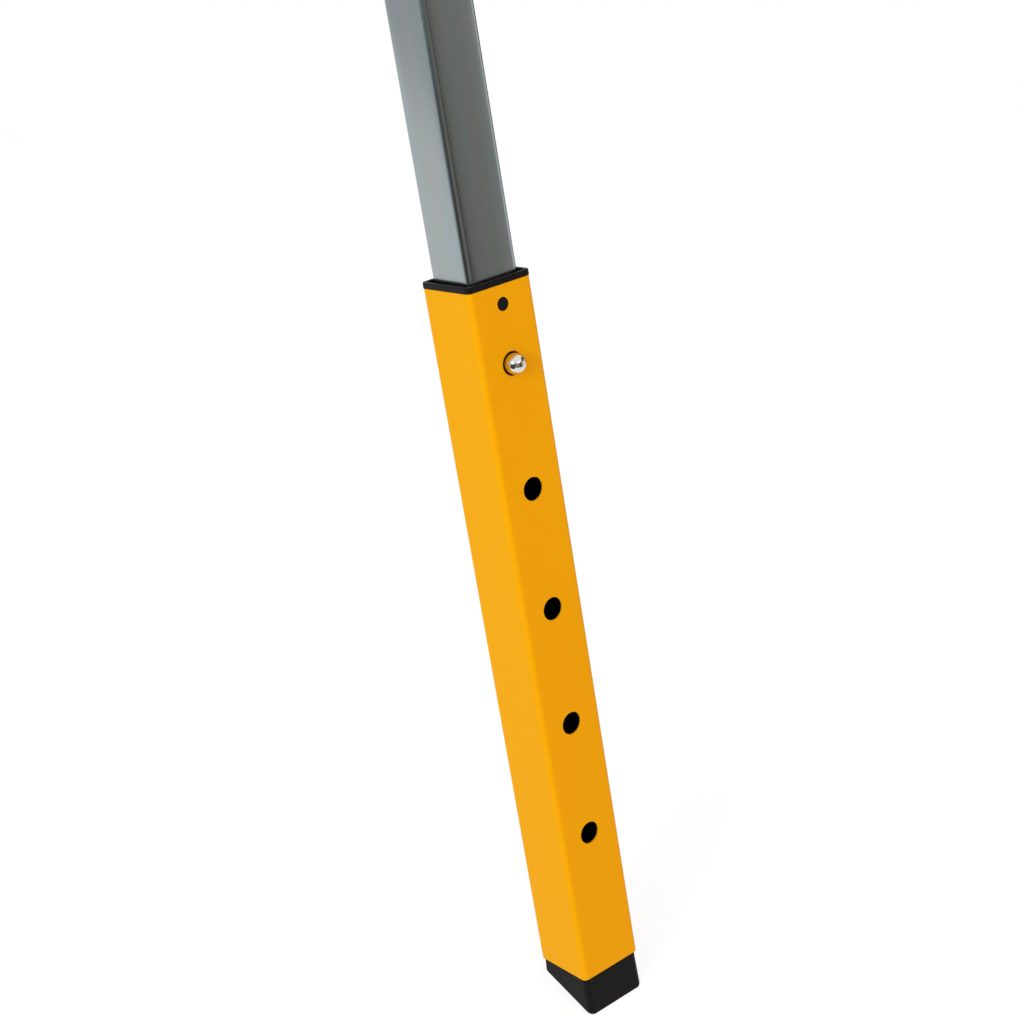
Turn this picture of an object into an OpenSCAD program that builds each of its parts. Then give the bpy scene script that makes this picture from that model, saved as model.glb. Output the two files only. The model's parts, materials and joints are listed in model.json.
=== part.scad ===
// Folding builders trestle with four telescopic legs.
// Frame: +Z up, X along the beam, Y across it, origin on the floor under the middle.
// Each leg is drawn in its own frame: the hinge pivot is the origin, the leg runs down -Z,
// and -Y is the outer face, which has the height holes.

/* [Lower sleeve] */
// Outside width of the square sleeve
sleeve_w = 40; // [38:0.5:48]
// Wall of the sleeve
sleeve_wall = 1.5; // [1.2:0.1:2]
// Length of the sleeve
sleeve_len = 400; // [385:5:480]
// Outside corner radius of the sleeve
sleeve_corner = 3; // [2:0.25:4]
// Number of height holes
hole_count = 5; // [3:1:6]
// Diameter of a height hole
hole_d = 12.7; // [12.2:0.1:14]
// From the sleeve's top edge down to the first height hole
first_hole = 41; // [38:1:55]
// From the last height hole down to the sleeve's lower end
last_hole = 87; // [70:1:120]

/* [Upper leg] */
// Outside width of the square upper leg
leg_w = 32; // [28:0.5:33.5]
// Wall of the upper leg
leg_wall = 1.5; // [1.2:0.1:2]
// Outside corner radius of the upper leg
leg_corner = 2.5; // [2.25:0.25:3.5]
// From the hinge pivot down to the snap button
leg_reach = 920; // [880:5:1050]
// Upper leg above the hinge pivot
leg_head = 22; // [18:1:26]
// Lean of each leg from upright, in degrees
lean = 22.5; // [18:0.5:26]
// How much closer to the middle a rear leg stands, so that the frames nest
nest_step = 64; // [52:1:90]
// Thickness of the face of the glide at the leg's lower end
glide_face = 4; // [2:0.5:8]
// Depth of the glide's plug inside the leg
glide_plug = 14; // [8:1:20]

/* [Collar bush] */
// Height of the collar's rim above the sleeve
collar_rim = 3.2; // [2:0.1:5]
// How far the rim stands out past the sleeve's sides
collar_proud = 0.2; // [0:0.05:0.5]
// Depth of the collar's skirt inside the sleeve
collar_depth = 30; // [18:1:31]
// Width of the rim's flat lip
collar_lip = 2; // [1.5:0.1:2.4]
// Depth of the recess between the lip and the leg
collar_recess = 2; // [1:0.1:2.5]
// Diameter of the peg that holds the collar
peg_d = 6.8; // [5:0.1:8]
// From the sleeve's top edge down to the peg
peg_drop = 10; // [8:0.5:14]

/* [Foot] */
// Height of the foot under the sleeve, at its middle
foot_rise = 16; // [14:0.5:25]
// How far the foot's sides stand in from the sleeve
foot_inset = 0.75; // [0:0.05:1.5]
// How far the foot's sides flare out towards the floor
foot_flare = 0.4; // [0:0.1:1.5]
// Corner radius of the foot
foot_corner = 3.5; // [3:0.25:6]
// Radius of the foot's bottom edge
foot_edge = 1.25; // [0.75:0.25:2.5]
// Depth of the foot's plug inside the sleeve
foot_plug = 22; // [12:1:26]
// Wall of the foot's hollow plug
plug_wall = 3; // [2:0.25:5]

/* [Snap button] */
// Diameter of the snap button
button_d = 11.1; // [9:0.1:11.5]
// Straight part of the button outside the sleeve, under its dome
button_neck = 2; // [0.5:0.1:4]
// Diameter of the button's inner flange
button_flange_d = 15; // [14:0.1:17]
// Thickness of the button's inner flange
button_flange = 1.5; // [1:0.1:2.5]
// Width of the button's leaf spring
spring_w = 12; // [9:0.5:14]
// Thickness of the leaf spring
spring_t = 1; // [0.6:0.1:1.4]
// From the button up to the spring's bend
spring_rise = 55; // [40:1:80]
// Outside radius of the spring's bend
spring_bend = 5; // [3:0.25:6]

/* [Beam] */
// Length of the beam without its end caps
beam_len = 1000; // [960:10:1400]
// From a front leg out to the beam's end
beam_overhang = 100; // [60:5:150]
// Width of the beam
beam_w = 100; // [98:1:120]
// Height of the beam
beam_h = 50; // [40:1:80]
// Wall of the beam
beam_wall = 2.5; // [2:0.1:4]
// Outside corner radius of the beam
beam_corner = 5; // [4.5:0.25:8]
// Thickness of an end cap's face
cap_face = 4; // [2:0.5:8]
// Depth of an end cap's plug
cap_plug = 20; // [10:1:40]

/* [Leg hinges] */
// From the middle out to a hinge pivot, across the beam
pivot_y = 32; // [24:0.5:33]
// Diameter of the pivot bolt
pivot_d = 10; // [8:0.5:12]
// Thickness of the hinge bracket's plate
ear_t = 4; // [3:0.25:6]
// Radius of the bracket's ear round the pivot
ear_r = 16; // [13:0.5:17]
// Inside radius of the bracket's bends
bend_in = 1.5; // [0.5:0.25:1.75]
// Thickness of a pivot washer
washer_t = 2; // [1:0.1:3]
// Diameter of a pivot washer
washer_d = 21; // [18:0.5:24]
// Hexagon of the pivot bolt, across flats
hex_flats = 17; // [15:0.5:19]
// Height of the bolt head
head_h = 6.4; // [5:0.1:8]
// Height of the lock nut
nut_h = 10; // [6:0.5:12]
// Height of the lock nut's round collar
nut_collar = 3; // [1.5:0.5:4]
// How far the nut's collar stands in from its flats
nut_collar_in = 1; // [0.5:0.25:2]
// How far the bolt's end stands out of its nut
bolt_end = 2.5; // [1:0.5:6]

/* [Stretchers and stays] */
// Width of a square stretcher tube
rail_w = 25; // [20:0.5:30]
// Wall of a stretcher tube
rail_wall = 1.5; // [1.2:0.1:2]
// Outside corner radius of a stretcher tube
rail_corner = 2.5; // [2.25:0.25:4]
// From the rim of a fully raised sleeve up to the stretcher
rail_room = 31; // [10:1:120]
// From the middle to a stay, along the beam
stay_x = 200; // [100:5:260]
// Width of a stay's flat bar
stay_w = 22; // [18:0.5:26]
// Thickness of a stay's flat bar and of its lugs
stay_t = 4; // [3:0.25:6]
// Diameter of a stay's rivets
rivet_d = 8; // [6:0.25:10]
// Diameter of a rivet's head
rivet_head_d = 14; // [12:0.5:17]
// Height of a rivet's head
rivet_head_h = 2.6; // [1.5:0.1:4]
// Height of a lug's pivot above its stretcher
lug_h = 14; // [14:0.5:24]

/* [Clearances] */
// Between the upper leg and the collar, and between the leg and its hinge ears
slide_gap = 0.4; // [0.2:0.05:0.6]
// Radial clearance of a pivot that turns
run_gap = 0.05; // [0.02:0.01:0.1]
// Between plates and heads that move past each other
pass_gap = 0.3; // [0.2:0.05:0.5]
// Between a plug and the tube that holds it
plug_gap = 0.15; // [0.05:0.05:0.3]
// Between the end of the retracted leg and the foot's plug
end_room = 5; // [2:1:10]

/* [Hidden] */
$fn = 48;
dome_fn = 96;
hull_fn = 32;
eps = 0.01;
least_corner = 0.4;

// The telescopic leg
sleeve_bore = sleeve_w - 2 * sleeve_wall;
leg_bore = leg_w - 2 * leg_wall;
hole_span = sleeve_len - first_hole - last_hole;
hole_pitch = hole_span / (hole_count - 1);
tube_tail = last_hole - foot_plug - end_room - glide_face;
sleeve_top = first_hole - leg_reach;
sleeve_end = sleeve_top - sleeve_len;
sole_drop = foot_rise - sleeve_end;
dome_r = button_d / 2;
dome_y = -sleeve_w / 2 - button_neck;
flange_y = -leg_bore / 2 + button_flange;
spring_y = flange_y + pass_gap;

// The hinges and the beam
hinge_h = sole_drop * cos(lean);
stop_h = leg_head * cos(lean) + leg_w / 2 * sin(lean) + pass_gap;
beam_z = hinge_h + stop_h + ear_t;
ear_in = leg_w / 2 + slide_gap;
ear_out = ear_in + ear_t;
front_x = beam_len / 2 - beam_overhang;
rear_x = front_x - nest_step;
washer_bore = pivot_d + 2 * plug_gap;

// The stretchers, above the sleeves' whole travel
raised_rim = sleeve_top + collar_rim + hole_span;
rail_drop = -raised_rim - rail_room - rail_w / 2;

// The stays, straight when the legs are open
stay_drop = rail_drop - rail_w / 2 - lug_h;
stay_len = pivot_y + stay_drop * sin(lean);
stay_h = hinge_h - stay_drop * cos(lean);
front_link_x = stay_t / 2 + pass_gap;
rear_link_x = front_link_x + stay_t + pass_gap;
rear_lug_x = rear_link_x + stay_t + pass_gap + stay_t / 2;

yellow = "#f4ab12";
zinc = "#9aa3a8";
black = "#2a2724";
chrome = "#d8d8d8";
spring_steel = "#7c8084";

CORNERS = ["front_left", "front_right", "rear_left", "rear_right"];
SIDES = ["left", "right"];
ROWS = ["front", "rear"];
CORNER_PARTS = ["hinge_bracket", "upper_leg", "leg_glide", "button_spring", "snap_button",
    "lower_sleeve", "collar_bush", "foot"];
SIDE_PARTS = ["beam_end_cap", "stay_front_link", "stay_rear_link", "stay_knee_rivet",
    "stay_front_rivet", "stay_rear_rivet"];
ROW_PARTS = ["stretcher", "stay_lugs"];
BEAM_PARTS = ["beam", "pivot_bolts", "pivot_washers", "pivot_nuts"];

function is_rear(corner) = corner >= 2;
function side_sign(side) = side == 0 ? -1 : 1;
function corner_x(corner) = side_sign(corner % 2) * (is_rear(corner) ? rear_x : front_x);

// Shapes that several parts share

module rounded_rect(width, depth, radius) {
    square([width - 2 * radius, depth], center = true);
    square([width, depth - 2 * radius], center = true);
    for (sx = [-1, 1], sy = [-1, 1])
        translate([sx * (width / 2 - radius), sy * (depth / 2 - radius)])
            circle(radius);
}

module square_bar(width, radius, length) {
    linear_extrude(length) rounded_rect(width, width, radius);
}

module square_tube(width, radius, wall, length) {
    difference() {
        square_bar(width, radius, length);
        translate([0, 0, -eps])
            square_bar(width - 2 * wall, max(radius - wall, least_corner), length + 2 * eps);
    }
}

// A round bar along X from x0 to x1
module x_bar(diameter, x0, x1) {
    translate([x0, 0, 0]) rotate([0, 90, 0]) cylinder(d = diameter, h = x1 - x0);
}

// A hexagon along X from x0 to x1
module x_hex(flats, x0, x1) {
    translate([x0, 0, 0]) rotate([0, 90, 0]) cylinder(d = flats / cos(30), h = x1 - x0, $fn = 6);
}

// A rivet head: a low dome with its flat side at x = 0, towards dir
module rivet_head(dir) {
    ball_r = (pow(rivet_head_d / 2, 2) + pow(rivet_head_h, 2)) / (2 * rivet_head_h);
    rotate([0, dir * 90, 0])
        rotate_extrude()
            intersection() {
                translate([0, rivet_head_h - ball_r]) circle(ball_r, $fn = dome_fn);
                square([rivet_head_d, rivet_head_h]);
            }
}

// Mirror to the rear row, and hang at a hinge pivot
module in_row(rear) {
    if (rear) mirror([0, 1, 0]) children();
    else children();
}

module hung(x, rear) {
    in_row(rear)
        translate([x, -pivot_y, hinge_h]) rotate([-lean, 0, 0]) children();
}

module at_corner(corner) {
    hung(corner_x(corner), is_rear(corner)) children();
}

// The beam and its hinges

module beam() {
    color(yellow)
        translate([-beam_len / 2, 0, beam_z + beam_h / 2]) rotate([90, 0, 90])
            difference() {
                linear_extrude(beam_len) rounded_rect(beam_w, beam_h, beam_corner);
                translate([0, 0, -eps]) linear_extrude(beam_len + 2 * eps)
                    rounded_rect(beam_w - 2 * beam_wall, beam_h - 2 * beam_wall, beam_corner - beam_wall);
            }
}

module beam_end_cap(side) {
    plug_in = 2 * (beam_wall + plug_gap);
    plug_corner = beam_corner - beam_wall;
    color(black)
        translate([side_sign(side) * beam_len / 2, 0, beam_z + beam_h / 2])
            rotate([90, 0, side_sign(side) * 90]) {
                linear_extrude(cap_face) rounded_rect(beam_w, beam_h, beam_corner);
                translate([0, 0, -cap_plug])
                    difference() {
                        linear_extrude(cap_plug + eps)
                            rounded_rect(beam_w - plug_in, beam_h - plug_in, plug_corner);
                        translate([0, 0, -eps])
                            linear_extrude(cap_plug)
                                rounded_rect(beam_w - plug_in - 2 * plug_wall,
                                    beam_h - plug_in - 2 * plug_wall, plug_corner);
                    }
            }
}

// The bracket's strip seen along the beam's width: a web bent down into two legs
module bracket_bends() {
    bend_out = bend_in + ear_t;
    drop = ear_r + stop_h + bend_out;
    difference() {
        translate([0, stop_h + ear_t - drop / 2])
            rounded_rect(2 * ear_out, drop, bend_out);
        translate([0, stop_h - drop / 2])
            rounded_rect(2 * ear_in, drop, bend_in);
    }
}

// The bracket's strip seen along the beam: straight sides and a round end at the pivot
module bracket_side() {
    circle(ear_r);
    translate([-ear_r, 0]) square([2 * ear_r, stop_h + ear_t]);
}

// A pressed channel: a web under the beam and two ears that hold the pivot bolt
module hinge_bracket(corner) {
    color(yellow)
        in_row(is_rear(corner))
            translate([corner_x(corner), -pivot_y, hinge_h])
                difference() {
                    intersection() {
                        translate([0, ear_r, 0]) rotate([90, 0, 0])
                            linear_extrude(2 * ear_r) bracket_bends();
                        translate([-ear_out, 0, 0]) rotate([90, 0, 90])
                            linear_extrude(2 * ear_out) bracket_side();
                    }
                    x_bar(washer_bore, -ear_out - eps, ear_out + eps);
                }
}

module at_pivots() {
    for (corner = [0 : len(CORNERS) - 1])
        in_row(is_rear(corner))
            translate([corner_x(corner), -pivot_y, hinge_h])
                mirror([1 - corner % 2, 0, 0]) children();
}

module pivot_bolts() {
    color(zinc)
        at_pivots() {
            x_bar(pivot_d, -ear_out - washer_t - nut_h - bolt_end, ear_out + washer_t + head_h / 2);
            x_hex(hex_flats, ear_out + washer_t, ear_out + washer_t + head_h);
        }
}

module pivot_washers() {
    color(zinc)
        at_pivots()
            for (x0 = [-ear_out - washer_t, ear_out])
                difference() {
                    x_bar(washer_d, x0, x0 + washer_t);
                    x_bar(washer_bore, x0 - eps, x0 + washer_t + eps);
                }
}

module pivot_nuts() {
    outer_x = -ear_out - washer_t;
    color(zinc)
        at_pivots()
            difference() {
                union() {
                    x_hex(hex_flats, outer_x - nut_h + nut_collar, outer_x);
                    x_bar(hex_flats - 2 * nut_collar_in, outer_x - nut_h, outer_x);
                }
                x_bar(pivot_d + 2 * run_gap, outer_x - nut_h - eps, outer_x + eps);
            }
}

// The telescopic leg

module upper_leg(corner) {
    color(zinc)
        at_corner(corner)
            difference() {
                translate([0, 0, -leg_reach - tube_tail])
                    square_tube(leg_w, leg_corner, leg_wall, leg_reach + tube_tail + leg_head);
                x_bar(pivot_d + 2 * run_gap, -leg_w, leg_w);
                translate([0, 0, -leg_reach]) rotate([90, 0, 0])
                    cylinder(d = button_d + 2 * pass_gap, h = leg_w);
            }
}

// A plastic plug in the upper leg's lower end, whose face runs inside the sleeve
module leg_glide(corner) {
    plug_size = leg_bore - 2 * plug_gap;
    color(black)
        at_corner(corner)
            translate([0, 0, -leg_reach - tube_tail]) {
                translate([0, 0, -glide_face])
                    square_bar(sleeve_bore - 2 * slide_gap, sleeve_corner - sleeve_wall / 2, glide_face);
                difference() {
                    square_bar(plug_size, leg_corner - leg_wall, glide_plug);
                    translate([0, 0, eps])
                        square_bar(plug_size - 2 * plug_wall, leg_corner - leg_wall, glide_plug);
                }
            }
}

module snap_button(corner) {
    color(chrome)
        at_corner(corner)
            translate([0, 0, -leg_reach]) {
                translate([0, dome_y, 0]) rotate([-90, 0, 0])
                    cylinder(d = button_d, h = flange_y - dome_y);
                translate([0, dome_y, 0]) sphere(dome_r);
                intersection() {
                    translate([0, flange_y - button_flange, 0]) rotate([-90, 0, 0])
                        cylinder(d = button_flange_d, h = button_flange);
                    translate([-spring_w / 2, -leg_w, -leg_w]) cube([spring_w, 2 * leg_w, 2 * leg_w]);
                }
            }
}

// A V of flat spring steel: a tab behind the button, a sloping arm, a bend and a back arm
module button_spring(corner) {
    back_y = leg_bore / 2;
    bend_y = back_y - spring_bend;
    tab = button_flange_d / 2;
    color(spring_steel)
        at_corner(corner)
            translate([-spring_w / 2, 0, -leg_reach]) rotate([90, 0, 90])
                linear_extrude(spring_w) {
                    translate([spring_y, -tab]) square([spring_t, 2 * tab]);
                    polygon([
                        [spring_y, tab - spring_t],
                        [spring_y + spring_t, tab - spring_t],
                        [bend_y - spring_bend + spring_t, spring_rise],
                        [bend_y - spring_bend, spring_rise]
                    ]);
                    difference() {
                        translate([bend_y, spring_rise]) circle(spring_bend);
                        translate([bend_y, spring_rise]) circle(spring_bend - spring_t);
                        translate([-leg_w, spring_rise - 2 * leg_w]) square(2 * leg_w);
                    }
                    translate([back_y - spring_t, -tab]) square([spring_t, spring_rise + tab]);
                }
}

module lower_sleeve(corner) {
    color(yellow)
        at_corner(corner)
            difference() {
                translate([0, 0, sleeve_end])
                    square_tube(sleeve_w, sleeve_corner, sleeve_wall, sleeve_len);
                for (i = [0 : hole_count - 1])
                    translate([0, 0, sleeve_top - first_hole - i * hole_pitch]) rotate([90, 0, 0])
                        cylinder(d = hole_d, h = sleeve_w);
                translate([0, 0, sleeve_top - peg_drop]) rotate([90, 0, 0])
                    cylinder(d = peg_d + 2 * plug_gap, h = sleeve_w);
            }
}

// A flanged bush in the sleeve's mouth, with a recess round the leg and one holding peg
module collar_bush(corner) {
    rim_w = sleeve_w + 2 * collar_proud;
    skirt_w = sleeve_bore - 2 * plug_gap;
    skirt_corner = max(sleeve_corner - sleeve_wall, least_corner);
    mouth_w = leg_w + 2 * slide_gap;
    color(black)
        at_corner(corner)
            translate([0, 0, sleeve_top])
                difference() {
                    union() {
                        square_bar(rim_w, sleeve_corner, collar_rim);
                        translate([0, 0, -collar_depth])
                            square_bar(skirt_w, skirt_corner, collar_depth + eps);
                        translate([0, 0, -peg_drop]) rotate([90, 0, 0])
                            cylinder(d = peg_d, h = sleeve_w / 2 - plug_gap);
                    }
                    translate([0, 0, -collar_depth - eps])
                        square_bar(mouth_w, leg_corner + slide_gap, collar_depth + collar_rim + 2 * eps);
                    translate([0, 0, collar_rim - collar_recess])
                        square_bar(rim_w - 2 * collar_lip, leg_corner, collar_recess + eps);
                }
}

// A wedge whose sole lies flat on the floor, on a hollow plug inside the sleeve
module foot(corner) {
    top_c = sleeve_w / 2 - foot_inset - foot_corner;
    sole_c = top_c + foot_flare;
    plug_size = sleeve_bore - 2 * plug_gap;
    plug_corner = max(sleeve_corner - sleeve_wall, least_corner);
    color(black)
        at_corner(corner) {
            hull($fn = hull_fn) {
                for (sx = [-1, 1], sy = [-1, 1]) {
                    translate([sx * top_c, sy * top_c, sleeve_end - foot_edge])
                        cylinder(r = foot_corner, h = foot_edge);
                    translate([sx * sole_c, sy * sole_c, sy * sole_c * tan(lean) - sole_drop])
                        rotate([lean, 0, 0]) {
                            cylinder(r = foot_corner - foot_edge, h = foot_edge);
                            translate([0, 0, foot_edge]) rotate_extrude()
                                translate([foot_corner - foot_edge, 0]) circle(foot_edge);
                        }
                }
            }
            difference() {
                translate([0, 0, sleeve_end - eps]) square_bar(plug_size, plug_corner, foot_plug + eps);
                translate([0, 0, sleeve_end])
                    square_bar(plug_size - 2 * plug_wall, plug_corner, foot_plug + eps);
            }
        }
}

// The stretchers and the folding stays

module stretcher(row) {
    half = (row == 1 ? rear_x : front_x) - leg_w / 2;
    color(zinc)
        hung(0, row == 1)
            translate([-half, 0, -rail_drop]) rotate([0, 90, 0])
                square_tube(rail_w, rail_corner, rail_wall, 2 * half);
}

// Where a stay's front lug stands, turned so that its links lie outwards of the lug
module at_stay(side) {
    translate([side_sign(side) * stay_x, 0, 0]) mirror([1 - side, 0, 0]) children();
}

// Plates on the stretchers: the front ones hold a rivet, the rear ones end in a rivet's closed head
module stay_lugs(row) {
    rear = row == 1;
    color(zinc)
        for (side = [0, 1])
            at_stay(side)
                hung(rear ? rear_lug_x : 0, rear)
                    translate([0, 0, -stay_drop]) {
                        difference() {
                            union() {
                                x_bar(stay_w, -stay_t / 2, stay_t / 2);
                                translate([-stay_t / 2, -stay_w / 2, -lug_h])
                                    cube([stay_t, stay_w, lug_h]);
                            }
                            if (!rear) x_bar(rivet_d, -stay_t, stay_t);
                        }
                        if (rear) translate([stay_t / 2, 0, 0]) rivet_head(1);
                    }
}

// A flat bar with round ends from its pivot at y0 to the one at y1
module stay_bar(x, y0, y1, bore0, bore1) {
    translate([x, 0, stay_h])
        difference() {
            union() {
                translate([-stay_t / 2, y0, -stay_w / 2]) cube([stay_t, y1 - y0, stay_w]);
                for (y = [y0, y1])
                    translate([0, y, 0]) x_bar(stay_w, -stay_t / 2, stay_t / 2);
            }
            translate([0, y0, 0]) x_bar(bore0, -stay_t, stay_t);
            translate([0, y1, 0]) x_bar(bore1, -stay_t, stay_t);
        }
}

module stay_front_link(side) {
    color(zinc) at_stay(side)
        stay_bar(front_link_x + stay_t / 2, -stay_len, 0, rivet_d + 2 * run_gap, rivet_d);
}

module stay_rear_link(side) {
    color(zinc) at_stay(side)
        stay_bar(rear_link_x + stay_t / 2, 0, stay_len, rivet_d + 2 * run_gap, rivet_d);
}

// Fixed in the front lug, and a pivot for the front link
module stay_front_rivet(side) {
    tip = front_link_x + stay_t + pass_gap;
    color(zinc) at_stay(side)
        translate([0, -stay_len, stay_h]) {
            x_bar(rivet_d, -stay_t / 2, tip);
            translate([-stay_t / 2, 0, 0]) rivet_head(-1);
            translate([tip, 0, 0]) rivet_head(1);
        }
}

// Fixed in the front link, and a pivot for the rear link
module stay_knee_rivet(side) {
    tip = rear_link_x + stay_t + pass_gap;
    color(zinc) at_stay(side)
        translate([0, 0, stay_h]) {
            x_bar(rivet_d, front_link_x, tip);
            translate([front_link_x, 0, 0]) rivet_head(-1);
            translate([tip, 0, 0]) rivet_head(1);
        }
}

// Fixed in the rear link, and ends flush with its face at the rear lug
module stay_rear_rivet(side) {
    color(zinc) at_stay(side)
        translate([0, stay_len, stay_h]) {
            x_bar(rivet_d, rear_link_x, rear_link_x + stay_t);
            translate([rear_link_x, 0, 0]) rivet_head(-1);
        }
}

beam();
pivot_bolts();
pivot_washers();
pivot_nuts();
for (c = [0 : len(CORNERS) - 1]) {
    hinge_bracket(c);
    upper_leg(c);
    leg_glide(c);
    button_spring(c);
    snap_button(c);
    lower_sleeve(c);
    collar_bush(c);
    foot(c);
}
for (r = [0 : len(ROWS) - 1]) {
    stretcher(r);
    stay_lugs(r);
}
for (s = [0 : len(SIDES) - 1]) {
    beam_end_cap(s);
    stay_front_link(s);
    stay_rear_link(s);
    stay_knee_rivet(s);
    stay_front_rivet(s);
    stay_rear_rivet(s);
}
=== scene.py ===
"""Dresses the folding builders trestle: every shown surface, the studio and the camera.

Lengths are millimetres until a mesh is made, and metres in the studio. A leg is drawn in its own frame:
the hinge pivot is the origin, the leg runs down -Z, and its outer face, with the height holes, looks to
-Y. Tubes, bars and rivets have Z along their length, so that draw lines follow it.
"""

import json
import logging
import math
from dataclasses import dataclass, field
from enum import Enum

import bmesh
import bpy
import numpy as np
from mathutils import Matrix, Vector
from numpy.typing import NDArray


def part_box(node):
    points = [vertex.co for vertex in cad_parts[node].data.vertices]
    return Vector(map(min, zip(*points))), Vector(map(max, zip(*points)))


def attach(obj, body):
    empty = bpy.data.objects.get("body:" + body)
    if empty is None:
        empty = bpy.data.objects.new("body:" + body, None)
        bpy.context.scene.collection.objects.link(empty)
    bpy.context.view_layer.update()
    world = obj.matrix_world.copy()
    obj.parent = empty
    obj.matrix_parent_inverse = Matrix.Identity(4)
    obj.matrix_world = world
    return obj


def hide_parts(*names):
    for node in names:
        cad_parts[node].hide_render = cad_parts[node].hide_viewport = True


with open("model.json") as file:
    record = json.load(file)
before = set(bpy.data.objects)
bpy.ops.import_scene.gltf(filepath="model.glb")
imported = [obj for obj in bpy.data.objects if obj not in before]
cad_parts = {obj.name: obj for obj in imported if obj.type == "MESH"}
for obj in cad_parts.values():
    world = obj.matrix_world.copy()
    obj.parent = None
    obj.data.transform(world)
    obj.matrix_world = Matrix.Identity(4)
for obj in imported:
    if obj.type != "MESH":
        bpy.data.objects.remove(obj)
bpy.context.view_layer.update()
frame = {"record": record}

Array = NDArray[np.float64]
Numbers = NDArray[np.int64]
Triple = tuple[float, float, float]
log = logging.getLogger("trestle")

MM = 0.001
OWN_PLACE = "own_mm"
UP = np.array([0.0, 0.0, 1.0])
LEAST_LENGTH = 1e-9
MERGE_DISTANCE = 2e-6
SMOOTH_ANGLE = math.radians(38.0)

# How many steps or points a curve of each kind has.
ARC_STEPS = 6
EASE_STEPS = 4
DOME_STEPS = 12
ROUND_STEPS = 48
BEAD_SIDES = 10
BEVEL_STEPS = 3

# A weld bead's radius between two ripples, what a ripple adds to it, and how suddenly an open end tapers.
BEAD_TROUGH = 0.9
BEAD_RIPPLE = 0.16
BEAD_TAPER = 8

# How far the patterns of one piece lie from those of the next, in millimetres.
PATTERN_SHIFT = 211.0

# Distance from the middle of a rolled face at which its crown is measured, in millimetres.
CROWN_HALF = 15.0

# Octaves of the noise, and the stretch of its values that is spread over 0 to 1.
NOISE_DETAIL = 2.0
NOISE_STRETCH = (0.3, 0.7)

# Numbers of a Mix node's sockets when it mixes colours.
MIX_FIRST = 6
MIX_SECOND = 7
MIX_RESULT = 2


class Slot(Enum):
    """Material slots of the part's record."""

    YELLOW = "yellow_powder_coat"
    TUBE = "zinc_tube"
    PLATE = "zinc_plate"
    NICKEL = "bright_nickel"
    SPRING = "spring_steel"
    PLASTIC = "black_plastic"
    RUBBER = "black_rubber"


class Face(Enum):
    """Faces of a square tube, as quarter turns from the outer one at -Y."""

    OUTER = 0
    RIGHT = 1
    INNER = 2
    LEFT = 3


class Named(Enum):
    """A choice whose name is part of the names of nodes and bodies."""

    @property
    def label(self) -> str:
        """Gives the name in small letters."""
        return self.name.lower()


class Side(Named):
    """Sides of the trestle, as directions along X."""

    LEFT = -1
    RIGHT = 1


class Row(Named):
    """Rows of legs, as directions along Y."""

    FRONT = -1
    REAR = 1

    @property
    def body(self) -> str:
        """Names the body of the row's leg frame."""
        return f"{self.label}_frame"


class StayPivot(Named):
    """Pivots of a stay, as places along it in link lengths from its knee."""

    FRONT = -1
    KNEE = 0
    REAR = 1


@dataclass(frozen=True)
class Corner:
    """One of the four corners of the trestle."""

    row: Row
    side: Side

    @property
    def name(self) -> str:
        """Gives the ending of the corner's nodes and bodies."""
        return f"{self.row.label}_{self.side.label}"


CORNERS = tuple(Corner(row, side) for row in Row for side in Side)


# Places


def moved(x: float = 0.0, y: float = 0.0, z: float = 0.0) -> Array:
    """Gives the 4 x 4 matrix of a shift."""
    shift = np.array([[x], [y], [z]])
    return np.vstack([np.hstack([np.eye(3), shift]), [0.0, 0.0, 0.0, 1.0]])


def turned(axis: str, degrees: float) -> Array:
    """Gives the 4 x 4 matrix of a turn about an axis through the origin."""
    return np.array(Matrix.Rotation(math.radians(degrees), 4, axis))


def scaled(x: float = 1.0, y: float = 1.0, z: float = 1.0) -> Array:
    """Gives the 4 x 4 matrix of a stretch, or of a mirror where a factor is negative."""
    return np.diag([x, y, z, 1.0])


def placed(points: Array, place: Array) -> Array:
    """Carries points of shape (..., 3) through a 4 x 4 matrix."""
    return points @ place[:3, :3].T + place[:3, 3]


ALONG_X = turned("Y", 90.0)
ALONG_Y = turned("X", -90.0)


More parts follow.
